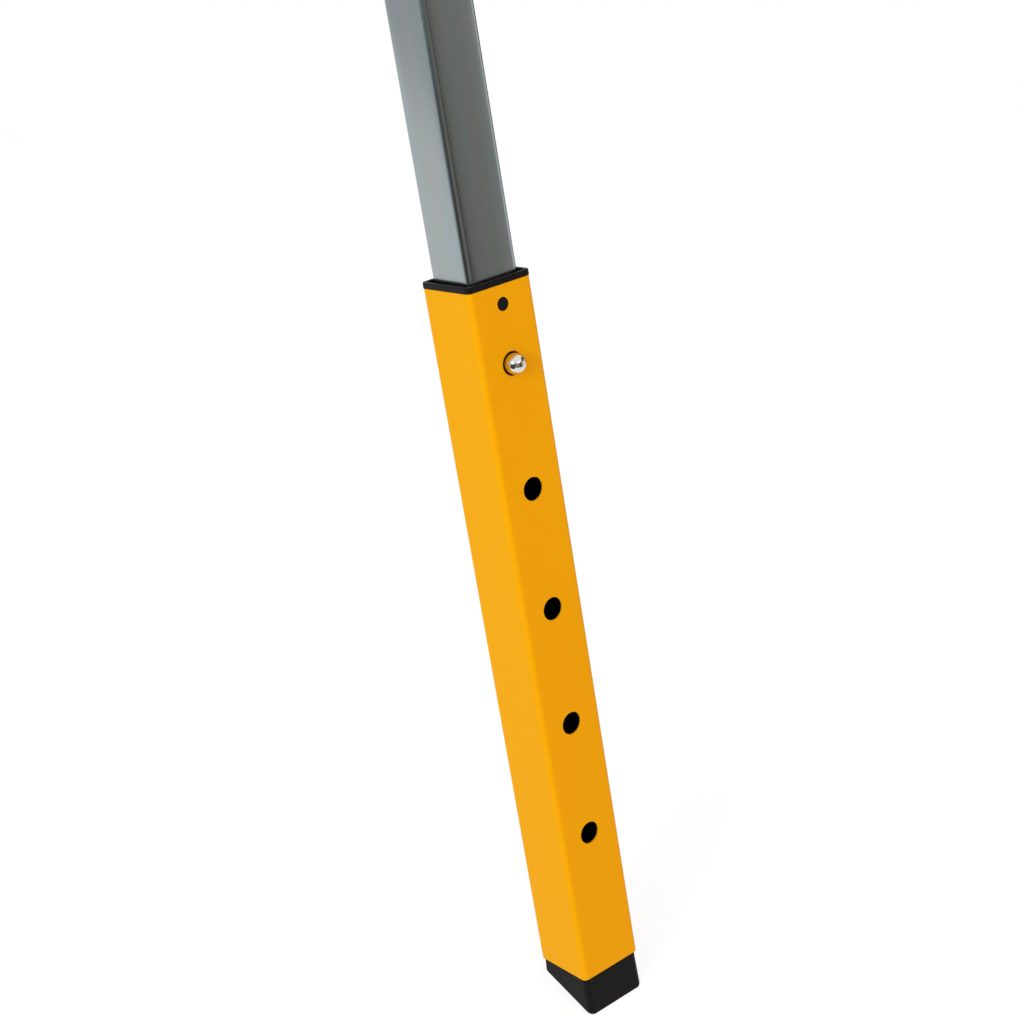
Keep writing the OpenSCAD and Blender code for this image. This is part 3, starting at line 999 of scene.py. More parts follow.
@dataclass(frozen=True)
class TelescopicLeg:
    """A leg: zinc tube with glide, spring and button, and the yellow sleeve with bush and foot.

    Heights run down from the hinge pivot.
    """

    layout: Layout
    corner: Corner
    leg_wall: float = 1.5
    leg_corner: float = 3.2
    leg_head: float = 22.0
    leg_reach: float = 920.0
    leg_tail: float = 56.0
    pivot_bore: float = 5.05
    button_bore: float = 5.85
    bore_room: float = 12.0
    glide_face: float = 4.0
    glide_plug: float = 14.0
    glide_ease: float = 0.4
    spring_w: float = 12.0
    spring_t: float = 1.0
    spring_rise: float = 55.0
    spring_bend: float = 5.0
    spring_gap: float = 0.3
    spring_ease: float = 0.3
    bend_steps: int = 12
    button_r: float = 5.55
    button_ease: float = 0.25
    dome_y: float = -22.0
    flange_y: float = -13.0
    flange_r: float = 7.5
    flange_t: float = 1.5
    sleeve_half: float = 20.0
    sleeve_wall: float = 1.5
    sleeve_corner: float = 3.0
    sleeve_len: float = 400.0
    first_hole: float = 41.0
    hole_pitch: float = 68.0
    hole_count: int = 5
    hole_r: float = 6.35
    hole_room: float = 16.0
    slide_gap: float = 0.4
    rim_high: float = 3.2
    rim_proud: float = 0.2
    rim_lip: float = 2.0
    rim_recess: float = 2.0
    recess_corner: float = 2.5
    skirt: float = 30.0
    bush_eases: tuple[float, ...] = (0.3, 0.2, 0.2, 0.5, 0.7, 0.4, 0.1, 0.3)
    peg_drop: float = 10.0
    peg_r: float = 3.4
    peg_room: float = 7.0
    peg_root: float = 0.5
    peg_eases: tuple[float, ...] = (0.0, 0.1, 0.5, 0.0)
    foot_rise: float = 16.0
    foot_inset: float = 0.75
    foot_flare: float = 0.4
    foot_corner: float = 3.5
    foot_plug: float = 22.0
    foot_eases: tuple[float, ...] = (0.0, 0.5, 0.5, 0.5, 0.1, 1.4, 1.25, 0.0)

    @property
    def place(self) -> Array:
        """Gives the leg's frame."""
        return self.layout.hung(self.layout.x(self.corner), self.corner.row)

    @property
    def leg_end(self) -> float:
        """Gives the height of the zinc tube's lower end."""
        return -self.leg_reach - self.leg_tail

    @property
    def sleeve_top(self) -> float:
        """Gives the height of the sleeve's mouth: its top hole is at the button."""
        return self.first_hole - self.leg_reach

    @property
    def sleeve_end(self) -> float:
        """Gives the height of the sleeve's lower end."""
        return self.sleeve_top - self.sleeve_len

    @property
    def sleeve_bore(self) -> float:
        """Gives half the width inside the sleeve."""
        return self.sleeve_half - self.sleeve_wall

    @property
    def sleeve_body(self) -> str:
        """Names the body that slides on the leg."""
        return f"sleeve_{self.corner.name}"

    def build(self) -> None:
        """Builds every piece of the leg."""
        self.build_tube()
        self.build_glide()
        self.build_spring()
        self.build_button()
        self.build_sleeve()
        self.build_bush()
        self.build_foot()

    def _start(self, name: str, *finishes: Finish) -> Piece:
        """Starts a piece of this corner in the leg's frame."""
        return Piece(f"{name}_{self.corner.name}", self.place, *finishes)

    def build_tube(self) -> None:
        """Builds the zinc tube with its bores for the pivot bolt and the button."""
        half = self.layout.leg_half
        button = Hole(Face.OUTER, -self.leg_reach, self.button_bore, self.bore_room)
        pivots = [Hole(face, 0.0, self.pivot_bore, self.bore_room) for face in (Face.LEFT, Face.RIGHT)]
        holes = (button, *pivots)
        tube = Tube(half, half, self.leg_corner, self.leg_wall, self.leg_end, self.leg_head, holes=holes)
        piece = self._start("drawn_leg", ZINC_TUBE, MILL_STEEL)
        tube.add_to(piece)
        piece.build(self.corner.row.body, Slot.TUBE, f"upper_leg_{self.corner.name}")

    def build_glide(self) -> None:
        """Builds the plug on the tube's lower end: a face that runs in the sleeve, and a hollow plug."""
        top = self.leg_end
        face = self.sleeve_bore - self.slide_gap
        plug = self.layout.leg_half - self.leg_wall - self.layout.plug_gap
        corner = self.sleeve_corner - self.sleeve_wall / 2
        inner = self.leg_corner - self.leg_wall
        section = square_rows([
            (0.0, 0.0, top - self.glide_face),
            (face, corner, top - self.glide_face),
            (face, corner, top),
            *plug_rows(plug, self.layout.plug_wall, inner, top, top + self.glide_plug),
            (0.0, 0.0, top),
        ])
        piece = self._start("glide_plug", BLACK_PLASTIC)
        piece.add(loft(eased(section, self.glide_ease, closed=False)))
        piece.build(self.corner.row.body, Slot.PLASTIC, f"leg_glide_{self.corner.name}")

    def build_spring(self) -> None:
        """Builds the leaf spring: a flat strip carried along a tab, a sloping arm, a bend and a back arm."""
        half_w = self.spring_w / 2
        half_t = self.spring_t / 2
        back = self.layout.leg_half - self.leg_wall - half_t
        front = self.flange_y + self.spring_gap + half_t
        bend_r = self.spring_bend - half_t
        middle = back - bend_r
        turn = np.linspace(math.pi, 0.0, self.bend_steps)
        bend = np.column_stack([middle + bend_r * np.cos(turn), self.spring_rise + bend_r * np.sin(turn)])
        tab = np.array([[front, -self.flange_r], [front, self.flange_r - self.spring_t]])
        line = np.concatenate([tab, bend, [[back, -self.flange_r]]])
        tangent = np.gradient(line, axis=0)
        tangent /= np.linalg.norm(tangent, axis=1)[:, None]
        normal = np.column_stack([-tangent[:, 1], tangent[:, 0]])
        corners = np.array([[half_w, half_t], [-half_w, half_t], [-half_w, -half_t], [half_w, -half_t]])
        strip = eased(corners, self.spring_ease)
        yz = line[:, None] + strip[None, :, 1:] * normal[:, None]
        x = np.broadcast_to(strip[None, :, 0], yz.shape[:2])
        grid = np.stack([x, yz[..., 0], yz[..., 1] - self.leg_reach], axis=-1)
        ends = [np.repeat(grid[row].mean(axis=0)[None], len(strip), axis=0)[None] for row in (0, -1)]
        piece = self._start("leaf_spring", SPRING_STRIP)
        piece.add(np.concatenate([ends[0], grid, ends[1]]))
        piece.build(self.corner.row.body, Slot.SPRING, f"button_spring_{self.corner.name}")

    def build_button(self) -> None:
        """Builds the domed button: a turned section whose flange is cut to the spring's width."""
        front_dome = dome(self.button_r, -self.button_r, self.dome_y)
        shoulder = self.flange_y - self.flange_t
        section = np.array([
            [0.0, self.flange_y],
            [self.flange_r, self.flange_y],
            [self.flange_r, shoulder],
            [self.button_r, shoulder],
            [self.button_r, self.dome_y],
        ])
        stem = eased(section, self.button_ease, closed=False)
        turned_part = revolved(np.concatenate([stem, front_dome[1:]]))
        half = self.spring_w / 2
        turned_part[..., 0] = np.clip(turned_part[..., 0], -half, half)
        piece = self._start("domed_button", BRIGHT_NICKEL)
        piece.add(placed(turned_part, moved(z=-self.leg_reach) @ ALONG_Y))
        piece.build(f"button_{self.corner.name}", Slot.NICKEL, f"snap_button_{self.corner.name}")

    def build_sleeve(self) -> None:
        """Builds the yellow sleeve with its row of height holes and the hole for the bush's peg."""
        half, top, end = self.sleeve_half, self.sleeve_top, self.sleeve_end
        heights = top - self.first_hole - self.hole_pitch * np.arange(self.hole_count)[::-1]
        holes = [Hole(Face.OUTER, height, self.hole_r, self.hole_room) for height in heights]
        peg_r = self.peg_r + self.layout.plug_gap
        holes.append(Hole(Face.OUTER, top - self.peg_drop, peg_r, self.peg_room))
        piece = self._start("coated_sleeve", YELLOW_COAT, MILL_STEEL)
        Tube(half, half, self.sleeve_corner, self.sleeve_wall, end, top, holes=tuple(holes)).add_to(piece)
        piece.build(self.sleeve_body, Slot.YELLOW, f"lower_sleeve_{self.corner.name}")

    def build_bush(self) -> None:
        """Builds the bush: a rim with a recess round the leg, a skirt in the sleeve, and a holding peg."""
        top = self.sleeve_top
        rim_top = top + self.rim_high
        recess = rim_top - self.rim_recess
        rim = self.sleeve_half + self.rim_proud
        skirt = self.sleeve_bore - self.layout.plug_gap
        mouth = self.layout.leg_half + self.slide_gap
        mouth_corner = self.leg_corner + self.slide_gap
        inner = self.sleeve_corner - self.sleeve_wall
        section = square_rows([
            (mouth, mouth_corner, top - self.skirt),
            (mouth, mouth_corner, recess),
            (rim - self.rim_lip, self.recess_corner, recess),
            (rim - self.rim_lip, self.recess_corner, rim_top),
            (rim, self.sleeve_corner, rim_top),
            (rim, self.sleeve_corner, top),
            (skirt, inner, top),
            (skirt, inner, top - self.skirt),
        ])
        root = -mouth - self.peg_root
        tip = -self.sleeve_half + self.layout.plug_gap
        peg = np.array([[0.0, root], [self.peg_r, root], [self.peg_r, tip], [0.0, tip]])
        turned_peg = revolved(eased(peg, self.peg_eases, closed=False))
        piece = self._start("moulded_bush", BLACK_PLASTIC)
        piece.add(loft(eased(section, self.bush_eases)), wrap_rows=True)
        piece.add(placed(turned_peg, moved(z=top - self.peg_drop) @ ALONG_Y))
        piece.build(self.sleeve_body, Slot.PLASTIC, f"collar_bush_{self.corner.name}")

    def build_foot(self) -> None:
        """Builds the wedge foot: a hollow plug, a shoulder under the sleeve and a level sole.

        A fifth column of the section gives how far a ring follows the floor: its height rises with y by
        the tangent of the lean.
        """
        end = self.sleeve_end
        sole = end - self.foot_rise
        plug = self.sleeve_bore - self.layout.plug_gap
        inner = self.sleeve_corner - self.sleeve_wall
        top_half = self.sleeve_half - self.foot_inset
        rows = square_rows([
            (0.0, 0.0, end),
            *reversed(plug_rows(plug, self.layout.plug_wall, inner, end, end + self.foot_plug)),
            (top_half, self.foot_corner, end),
            (top_half + self.foot_flare, self.foot_corner, sole),
            (0.0, 0.0, sole),
        ])
        follows = np.isclose(rows[:, 3], sole).astype(float)
        section = eased(np.column_stack([rows, follows]), self.foot_eases, closed=False)
        rings = loft(section[:, :4])
        rings[..., 2] += section[:, 4:] * rings[..., 1] * math.tan(math.radians(self.layout.lean))
        piece = self._start("wedge_foot", BLACK_RUBBER)
        piece.add(rings)
        piece.build(self.sleeve_body, Slot.RUBBER, f"foot_{self.corner.name}")


@dataclass(frozen=True)
class Hinges:
    """The four hinge brackets under the beam, with their bolts, washers and nuts.

    Attributes that their names don't explain:
        cone_shares: where the cone on a hexagon begins and ends, as shares of the distance across flats.
        cone_slope: slope of that cone, in degrees.
        shank_start: how far under its head a bolt's shank begins.
        thread_cover: how far the thread that is drawn goes into the nut.
        ring_out: how far the nylon ring reaches past the middle of the collar.
        ring_lip: depth of the collar's edge inside.
        ring_drop: how far the nylon lies under the collar's edge.
        weld_short: how far a weld stops short of the bracket's edge.
        weld_out: how far out on the bend a weld lies, as a share of the bend's inner radius.
        weld_sunk: how far a weld's middle is under the beam, as a share of its radius.
    """

    layout: Layout
    ear_in: float = 16.4
    ear_t: float = 4.0
    ear_r: float = 16.0
    ear_bevel: float = 0.5
    bend_in: float = 1.5
    bend_steps: int = 9
    bore_r: float = 5.15
    washer_t: float = 2.0
    washer_r: float = 10.5
    washer_ease: float = 0.3
    hex_flats: float = 17.0
    cone_shares: tuple[float, float] = (0.47, 0.6)
    cone_slope: float = 30.0
    bolt_r: float = 5.0
    head_h: float = 6.4
    head_cone_steps: int = 7
    shank_start: float = 1.0
    bolt_end: float = 2.5
    tip_h: float = 0.8
    tip_in: float = 0.9
    thread_pitch: float = 1.5
    thread_depth: float = 0.45
    thread_steps: int = 8
    thread_cover: float = 1.0
    nut_h: float = 10.0
    nut_gap: float = 0.05
    nut_cone_steps: int = 6
    collar_h: float = 3.0
    collar_in: float = 1.0
    collar_eases: tuple[float, ...] = (0.0, 1.0, 0.2, 0.0)
    ring_out: float = 0.4
    ring_lip: float = 0.6
    ring_drop: float = 0.5
    weld_r: float = 2.2
    weld_ripple: float = 2.6
    weld_steps: int = 60
    weld_short: float = 2.0
    weld_out: float = 0.75
    weld_sunk: float = 0.5

    @property
    def ear_out(self) -> float:
        """Gives the distance from the leg's middle to an ear's outer face."""
        return self.ear_in + self.ear_t

    @property
    def seat(self) -> float:
        """Gives the distance from the leg's middle to the seat of a bolt's head or nut."""
        return self.ear_out + self.washer_t

    def build(self) -> None:
        """Builds the brackets one by one, and the fasteners in groups."""
        for corner in CORNERS:
            self.build_bracket(corner)
        self.build_bolts()
        self.build_washers()
        self.build_nuts()

    def fastener_place(self, corner: Corner) -> Array:
        """Gives the place of a corner's bolt, with Z from its nut to its head."""
        return self.layout.pivot(self.layout.x(corner), corner.row) @ scaled(x=corner.side.value) @ ALONG_X

    def build_bracket(self, corner: Corner) -> None:
        """Builds a pressed channel: two bored ears, and a strip carried round two bends and across a web.

        Args:
            corner: the bracket's corner.
        """
        top = self.layout.beam_low[2] - self.layout.hinge_h
        bend_z = top - self.ear_t - self.bend_in
        bend_x = self.ear_in - self.bend_in
        ear = Ear(self.ear_r, bend_z, self.bore_r, self.ear_t)
        place = self.layout.pivot(self.layout.x(corner), corner.row)
        piece = Piece(f"pressed_channel_{corner.name}", place, YELLOW_COAT)
        for side in Side:
            ear.add_to(piece, moved(x=side.value * (self.ear_in + self.ear_t / 2)))
        turn = np.linspace(0.0, math.pi / 2, self.bend_steps)
        turn = np.concatenate([turn, turn + math.pi / 2])[:, None]
        middle = np.repeat([bend_x, -bend_x], self.bend_steps)[:, None]
        across = ear.edge()
        y = np.concatenate([across, across[::-1]])
        radius = np.repeat([self.bend_in + self.ear_t, self.bend_in], len(across))
        strip = np.broadcast_arrays(middle + radius * np.cos(turn), y, bend_z + radius * np.sin(turn))
        piece.add(np.stack(strip, axis=-1))
        weld = straight_bead(self.ear_r - self.weld_short, self.weld_steps, self.weld_r, self.weld_ripple)
        weld_x = bend_x + self.weld_out * self.bend_in + self.weld_r
        for side in Side:
            piece.add(placed(weld, moved(x=side.value * weld_x, z=top - self.weld_sunk * self.weld_r)))
        piece.build("beam", Slot.YELLOW, f"hinge_bracket_{corner.name}", bevel_mm=self.ear_bevel)

    def _cone(self, steps: int) -> tuple[Array, Array]:
        """Gives the cone that cuts a hexagon's corners and leaves the arcs on a real bolt head.

        Args:
            steps: points along the cone.

        Returns:
            The radius, and how far the cone has fallen there.
        """
        start, end = (share * self.hex_flats for share in self.cone_shares)
        radius = np.linspace(start, end, steps)
        return radius, (radius - start) * math.tan(math.radians(self.cone_slope))

    def build_bolts(self) -> None:
        """Builds the four bolts: a hexagon head with a coned top, a shank and a threaded end.

        The thread is a radius that falls and rises once a pitch and turns with the angle.
        """
        top = self.seat + self.head_h
        nut_end = -self.seat - self.nut_h
        end = nut_end - self.bolt_end
        cone, fall = self._cone(self.head_cone_steps)
        head = np.column_stack([
            np.concatenate([[0.0], cone, [cone[-1], self.bolt_r]]),
            np.concatenate([[top], top - fall, [self.seat, self.seat]]),
        ])
        step = self.thread_pitch / self.thread_steps
        height = np.arange(self.seat - self.shank_start, end + self.tip_h, -step)
        shank = revolved(np.column_stack([np.full_like(height, self.bolt_r), height]))
        angle = np.arctan2(shank[..., 1], shank[..., 0])
        groove = 0.5 - 0.5 * np.cos(2 * math.pi * shank[..., 2] / self.thread_pitch - angle)
        threaded = shank[..., 2] < nut_end + self.thread_cover
        shank[..., :2] *= (1.0 - threaded * groove * self.thread_depth / self.bolt_r)[..., None]
        tip = revolved(np.array([[self.bolt_r - self.tip_in, end], [0.0, end]]))
        grid = np.concatenate([revolved(head, self.hex_flats), shank, tip])
        piece = Piece("pivot_bolt_set", np.eye(4), ZINC_PLATE)
        for corner in CORNERS:
            piece.add(placed(grid, self.fastener_place(corner)))
        piece.build("beam", Slot.PLATE, "pivot_bolts")

    def build_washers(self) -> None:
        """Builds the eight washers, one under each head and nut."""
        inner, outer, high = self.bore_r, self.washer_r, self.washer_t
        section = np.array([[inner, 0.0], [outer, 0.0], [outer, high], [inner, high]])
        ring = revolved(eased(section, self.washer_ease))
        piece = Piece("pivot_washer_set", np.eye(4), ZINC_PLATE)
        for corner in CORNERS:
            for low in (self.ear_out, -self.seat):
                piece.add(placed(ring, self.fastener_place(corner) @ moved(z=low)), wrap_rows=True)
        piece.build("beam", Slot.PLATE, "pivot_washers")

    def build_nuts(self) -> None:
        """Builds the four lock nuts: a coned hexagon, a round collar and the nylon ring in it."""
        high = self.nut_h
        hex_h = high - self.collar_h
        bore = self.bolt_r + self.nut_gap
        collar_r = self.hex_flats / 2 - self.collar_in
        ring_r = (bore + collar_r) / 2 + self.ring_out
        cone, fall = self._cone(self.nut_cone_steps)
        rim = [[collar_r, hex_h], [collar_r, high], [ring_r, high], [ring_r, high - self.ring_lip]]
        nylon = [[ring_r, high - self.ring_drop], [bore, high - self.ring_drop]]
        section = np.concatenate([
            [[bore, 0.0]],
            np.column_stack([cone, fall]),
            np.column_stack([cone[::-1], hex_h - fall[::-1]]),
            eased(np.array(rim), self.collar_eases, closed=False),
            nylon,
        ])
        marks = np.zeros(len(section), int)
        marks[-len(nylon):] = 1
        nut = placed(revolved(section, self.hex_flats), moved(z=-self.seat) @ scaled(z=-1.0))
        piece = Piece("lock_nut_set", np.eye(4), ZINC_PLATE, NYLON_RING)
        for corner in CORNERS:
            piece.add(placed(nut, self.fastener_place(corner)), wrap_rows=True, finish=marks)
        piece.build("beam", Slot.PLATE, "pivot_nuts")


@dataclass(frozen=True)
class Beam:
    """The yellow box beam and its end caps.

    A cap's face rises by cap_crown from its edge, over a share of the beam's half height.
    """

    layout: Layout
    wall: float = 2.5
    corner: float = 5.0
    end_ease: float = 0.6
    cap_face: float = 4.0
    cap_plug: float = 20.0
    cap_crown: float = 0.6
    crown_share: float = 0.28
    cap_eases: tuple[float, ...] = (0.0, 0.5, 0.6, 0.6, 0.1, 0.2, 1.6, 3.0, 0.0)

    @property
    def middle(self) -> Array:
        """Gives the beam's middle, with Z along it, X down and Y across."""
        return moved(*((self.layout.beam_low + self.layout.beam_high) / 2)) @ ALONG_X

    @property
    def half(self) -> Array:
        """Gives half the beam's length, width and height."""
        return (self.layout.beam_high - self.layout.beam_low) / 2

    def build(self) -> None:
        """Builds the beam and both caps."""
        length, width, height = self.half
        piece = Piece("box_beam", self.middle, YELLOW_COAT, MILL_STEEL)
        Tube(height, width, self.corner, self.wall, -length, length, ease=self.end_ease).add_to(piece)
        piece.build("beam", Slot.YELLOW, "beam")
        for side in Side:
            self.build_cap(side)

    def build_cap(self, side: Side) -> None:
        """Builds an end cap: a crowned face with rounded edges on a hollow plug.

        Args:
            side: the beam's end.
        """
        length, width, height = self.half
        inner = self.corner - self.wall
        plug = -self.wall - self.layout.plug_gap
        out, corner, z = np.array([
            *reversed(plug_rows(plug, self.layout.plug_wall, inner, 0.0, -self.cap_plug)),
            (0.0, self.corner, 0.0),
            (0.0, self.corner, self.cap_face - self.cap_crown),
            (-self.crown_share * height, self.corner, self.cap_face),
        ]).T
        section = np.column_stack([height + out, width + out, corner, z])
        inside_pole = np.array([[0.0, width - height, 0.0, 0.0]])
        outside_pole = np.array([[0.0, width - height, 0.0, self.cap_face]])
        rows = np.concatenate([inside_pole, section, outside_pole])
        place = self.middle @ scaled(z=side.value) @ moved(z=length)
        piece = Piece(f"moulded_cap_{side.label}", place, BLACK_PLASTIC)
        piece.add(loft(eased(rows, self.cap_eases, closed=False)))
        piece.build("beam", Slot.PLASTIC, f"beam_end_cap_{side.label}")


@dataclass(frozen=True)
class LegRow:
    """What joins a row's two legs: the stretcher with its welds, and the lugs of the stays.

    A weld's middle lies off the surfaces by a share of its radius: weld_off, or lug_weld_off on a lug.
    """

    layout: Layout
    row: Row
    rail_half: float = 12.5
    rail_wall: float = 1.5
    rail_corner: float = 2.5
    rail_ease: float = 0.2
    rail_drop: float = 560.3
    rear_lug_x: float = 12.9
    lug_h: float = 14.0
    lug_bevel: float = 0.4
    weld_r: float = 2.4
    weld_ripple: float = 2.4
    weld_off: float = 0.35
    weld_steps: int = 220
    lug_weld_share: float = 0.8
    lug_weld_off: float = 0.3
    lug_weld_steps: int = 50

    @property
    def rear(self) -> bool:
        """Tells whether this is the rear row."""
        return self.row is Row.REAR

    def build(self) -> None:
        """Builds the stretcher and the lugs."""
        self.build_rail()
        self.build_lugs()

    def build_rail(self) -> None:
        """Builds the stretcher between the legs, with a weld bead round each of its ends."""
        half = self.rail_half
        length = self.layout.leg_x[self.row] - self.layout.leg_half
        place = self.layout.hung(0.0, self.row) @ moved(z=-self.rail_drop) @ ALONG_X
        piece = Piece(f"drawn_rail_{self.row.label}", place, ZINC_TUBE, MILL_STEEL)
        tube = Tube(half, half, self.rail_corner, self.rail_wall, -length, length, ease=self.rail_ease)
        tube.add_to(piece)
        off = self.weld_off * self.weld_r
        ring = loft(square_rows([(half + off, self.rail_corner + off, 0.0)]))[0]
        weld = bead(self._spaced(ring, self.weld_steps), self.weld_r, self.weld_ripple, closed=True)
        for side in Side:
            piece.add(placed(weld, moved(z=side.value * (length - off))), wrap_rows=True)
        piece.build(self.row.body, Slot.TUBE, f"stretcher_{self.row.label}")

    @staticmethod
    def _spaced(ring: Array, count: int) -> Array:
        """Spaces points evenly round a closed ring, by its length.

        Args:
            ring: (n, 3) corners of the ring.
            count: points to give.

        Returns:
            (count, 3) points.
        """
        joined = np.vstack([ring, ring[:1]])
        length = np.concatenate([[0.0], np.cumsum(np.linalg.norm(np.diff(joined, axis=0), axis=1))])
        at = np.linspace(0.0, length[-1], count, endpoint=False)
        return np.column_stack([np.interp(at, length, column) for column in joined.T])

    def build_lugs(self) -> None:
        """Builds the row's two lugs with their welds; a rear lug carries the closed head of its rivet."""
        layout = self.layout
        out = self.rear_lug_x if self.rear else 0.0
        bore = 0.0 if self.rear else layout.rivet_r
        lug = Ear(layout.bar_r, self.lug_h, bore, layout.bar_t, joined=False)
        head = revolved(dome(layout.rivet_head_r, layout.rivet_head_h, 0.0))
        weld_r = self.lug_weld_share * self.weld_r
        weld = straight_bead(layout.bar_r, self.lug_weld_steps, weld_r, self.weld_ripple)
        off = self.lug_weld_off * self.weld_r
        place = layout.hung(0.0, self.row) @ moved(z=-layout.stay_drop)
        piece = Piece(f"welded_lugs_{self.row.label}", place, ZINC_PLATE)
        for side in Side:
            stand = scaled(x=side.value) @ moved(x=layout.stay_x + out)
            lug.add_to(piece, stand @ turned("X", 180.0))
            if self.rear:
                piece.add(placed(head, stand @ moved(x=layout.bar_t / 2) @ ALONG_X))
            for face in Side:
                seam = moved(x=face.value * (layout.bar_t / 2 + off), z=off - self.lug_h)
                piece.add(placed(weld, stand @ seam))
        piece.build(self.row.body, Slot.PLATE, f"stay_lugs_{self.row.label}", bevel_mm=self.lug_bevel)


@dataclass(frozen=True)
class FoldingStay:
    """One of the two folding stays: a front and a rear link with three rivets."""

    layout: Layout
    side: Side
    front_link_x: float = 2.3
    rear_link_x: float = 6.6
    link_bevel: float = 0.45
    run_gap: float = 0.05
    pass_gap: float = 0.3

    @property
    def length(self) -> float:
        """Gives the distance between a link's pivots: from a lug to the middle plane."""
        return self.layout.pivot_y + self.layout.stay_drop * math.sin(math.radians(self.layout.lean))

    @property
    def knee(self) -> Array:
        """Gives the place of the knee between the open links, with X outwards."""
        height = self.layout.hinge_h - self.layout.stay_drop * math.cos(math.radians(self.layout.lean))
        return moved(z=height) @ scaled(x=self.side.value) @ moved(x=self.layout.stay_x)

    def build(self) -> None:
        """Builds both links and the three rivets."""
        thick = self.layout.bar_t
        front, rear, side = self.front_link_x, self.rear_link_x, self.side.label
        self.build_link(Row.FRONT, front, -self.length)
        self.build_link(Row.REAR, rear, 0.0)
        front_tip = front + thick + self.pass_gap
        knee_tip = rear + thick + self.pass_gap
        self.build_rivet(StayPivot.FRONT, Row.FRONT.body, -thick / 2, front_tip)
        self.build_rivet(StayPivot.KNEE, f"stay_front_{side}", front, knee_tip)
        self.build_rivet(StayPivot.REAR, f"stay_rear_{side}", rear, rear + thick, headed=False)

    def build_link(self, link: Row, x: float, start: float) -> None:
        """Builds a link: a flat bar with two round bored ends that meet at its middle.

        Args:
            link: the row whose lug it hangs on.
            x: its inner face.
            start: place of its first pivot along Y.
        """
        layout = self.layout
        half = self.length / 2
        name = f"{link.label}_{self.side.label}"
        place = self.knee @ moved(x=x + layout.bar_t / 2, y=start + half) @ turned("X", -90.0)
        piece = Piece(f"flat_bar_{name}", place, ZINC_PLATE)
        end = Ear(layout.bar_r, half, layout.rivet_r + self.run_gap, layout.bar_t)
        end.add_to(piece, moved(z=-half))
        end.add_to(piece, turned("X", 180.0) @ moved(z=-half))
        replaced = f"stay_{link.label}_link_{self.side.label}"
        piece.build(f"stay_{name}", Slot.PLATE, replaced, bevel_mm=self.link_bevel)

    def build_rivet(
        self, pivot: StayPivot, body: str, low: float, tip: float, headed: bool = True
    ) -> None:
        """Builds a rivet: a shank with a low dome at its inner end, and at its tip where it has one.

        Args:
            pivot: the pivot that it is at.
            body: the body that it rides on.
            low: where its inner head sits.
            tip: where its outer head sits, or where it ends flush.
            headed: whether its tip has a head.
        """
        radius, head_r, head_h = self.layout.rivet_r, self.layout.rivet_head_r, self.layout.rivet_head_h
        inner = dome(head_r, -head_h, low)[::-1]
        shank = np.array([[radius, low], [radius, tip]])
        outer = dome(head_r, head_h, tip) if headed else np.array([[0.0, tip]])
        place = self.knee @ moved(y=pivot.value * self.length) @ ALONG_X
        piece = Piece(f"domed_rivet_{pivot.label}_{self.side.label}", place, ZINC_PLATE)
        piece.add(revolved(np.concatenate([inner, shank, outer])))
        piece.build(body, Slot.PLATE, f"stay_{pivot.label}_rivet_{self.side.label}")


@dataclass(frozen=True)
class Trestle:
    """The whole trestle, built sub-assembly by sub-assembly."""

    layout: Layout = field(default_factory=Layout.read)

    def build(self) -> None:
        """Builds the legs, the hinges, the beam, the rows and the stays."""
        for corner in CORNERS:
            TelescopicLeg(self.layout, corner).build()
        Hinges(self.layout).build()
        Beam(self.layout).build()
        for row in Row:
            LegRow(self.layout, row).build()
        for side in Side:
            FoldingStay(self.layout, side).build()


# The studio


@dataclass(frozen=True)
class Lamp:
    """A square soft box; its size is the side of the square, and its power is in watts."""

    name: str
    place: Triple
    target: Triple
    size: float
    power: float
    colour: str


@dataclass(frozen=True)
class Board:
    """A glowing sheet, no lamp, that only shiny surfaces see: it paints a grey, dark or white reflection on
    the metal.

    Attributes:
        name: name of the sheet.
        bearing: where its middle stands round the front right leg, in degrees from -X towards -Y.
        spread: degrees that it takes up.
        distance: how far off it stands.
        height: its height.
        colour: the colour that it glows with, which shiny surfaces show as a painted reflection.
        low: height of its lower edge.
    """

    name: str
    bearing: float
    spread: float
    distance: float
    height: float
    colour: str
    low: float = 0.0


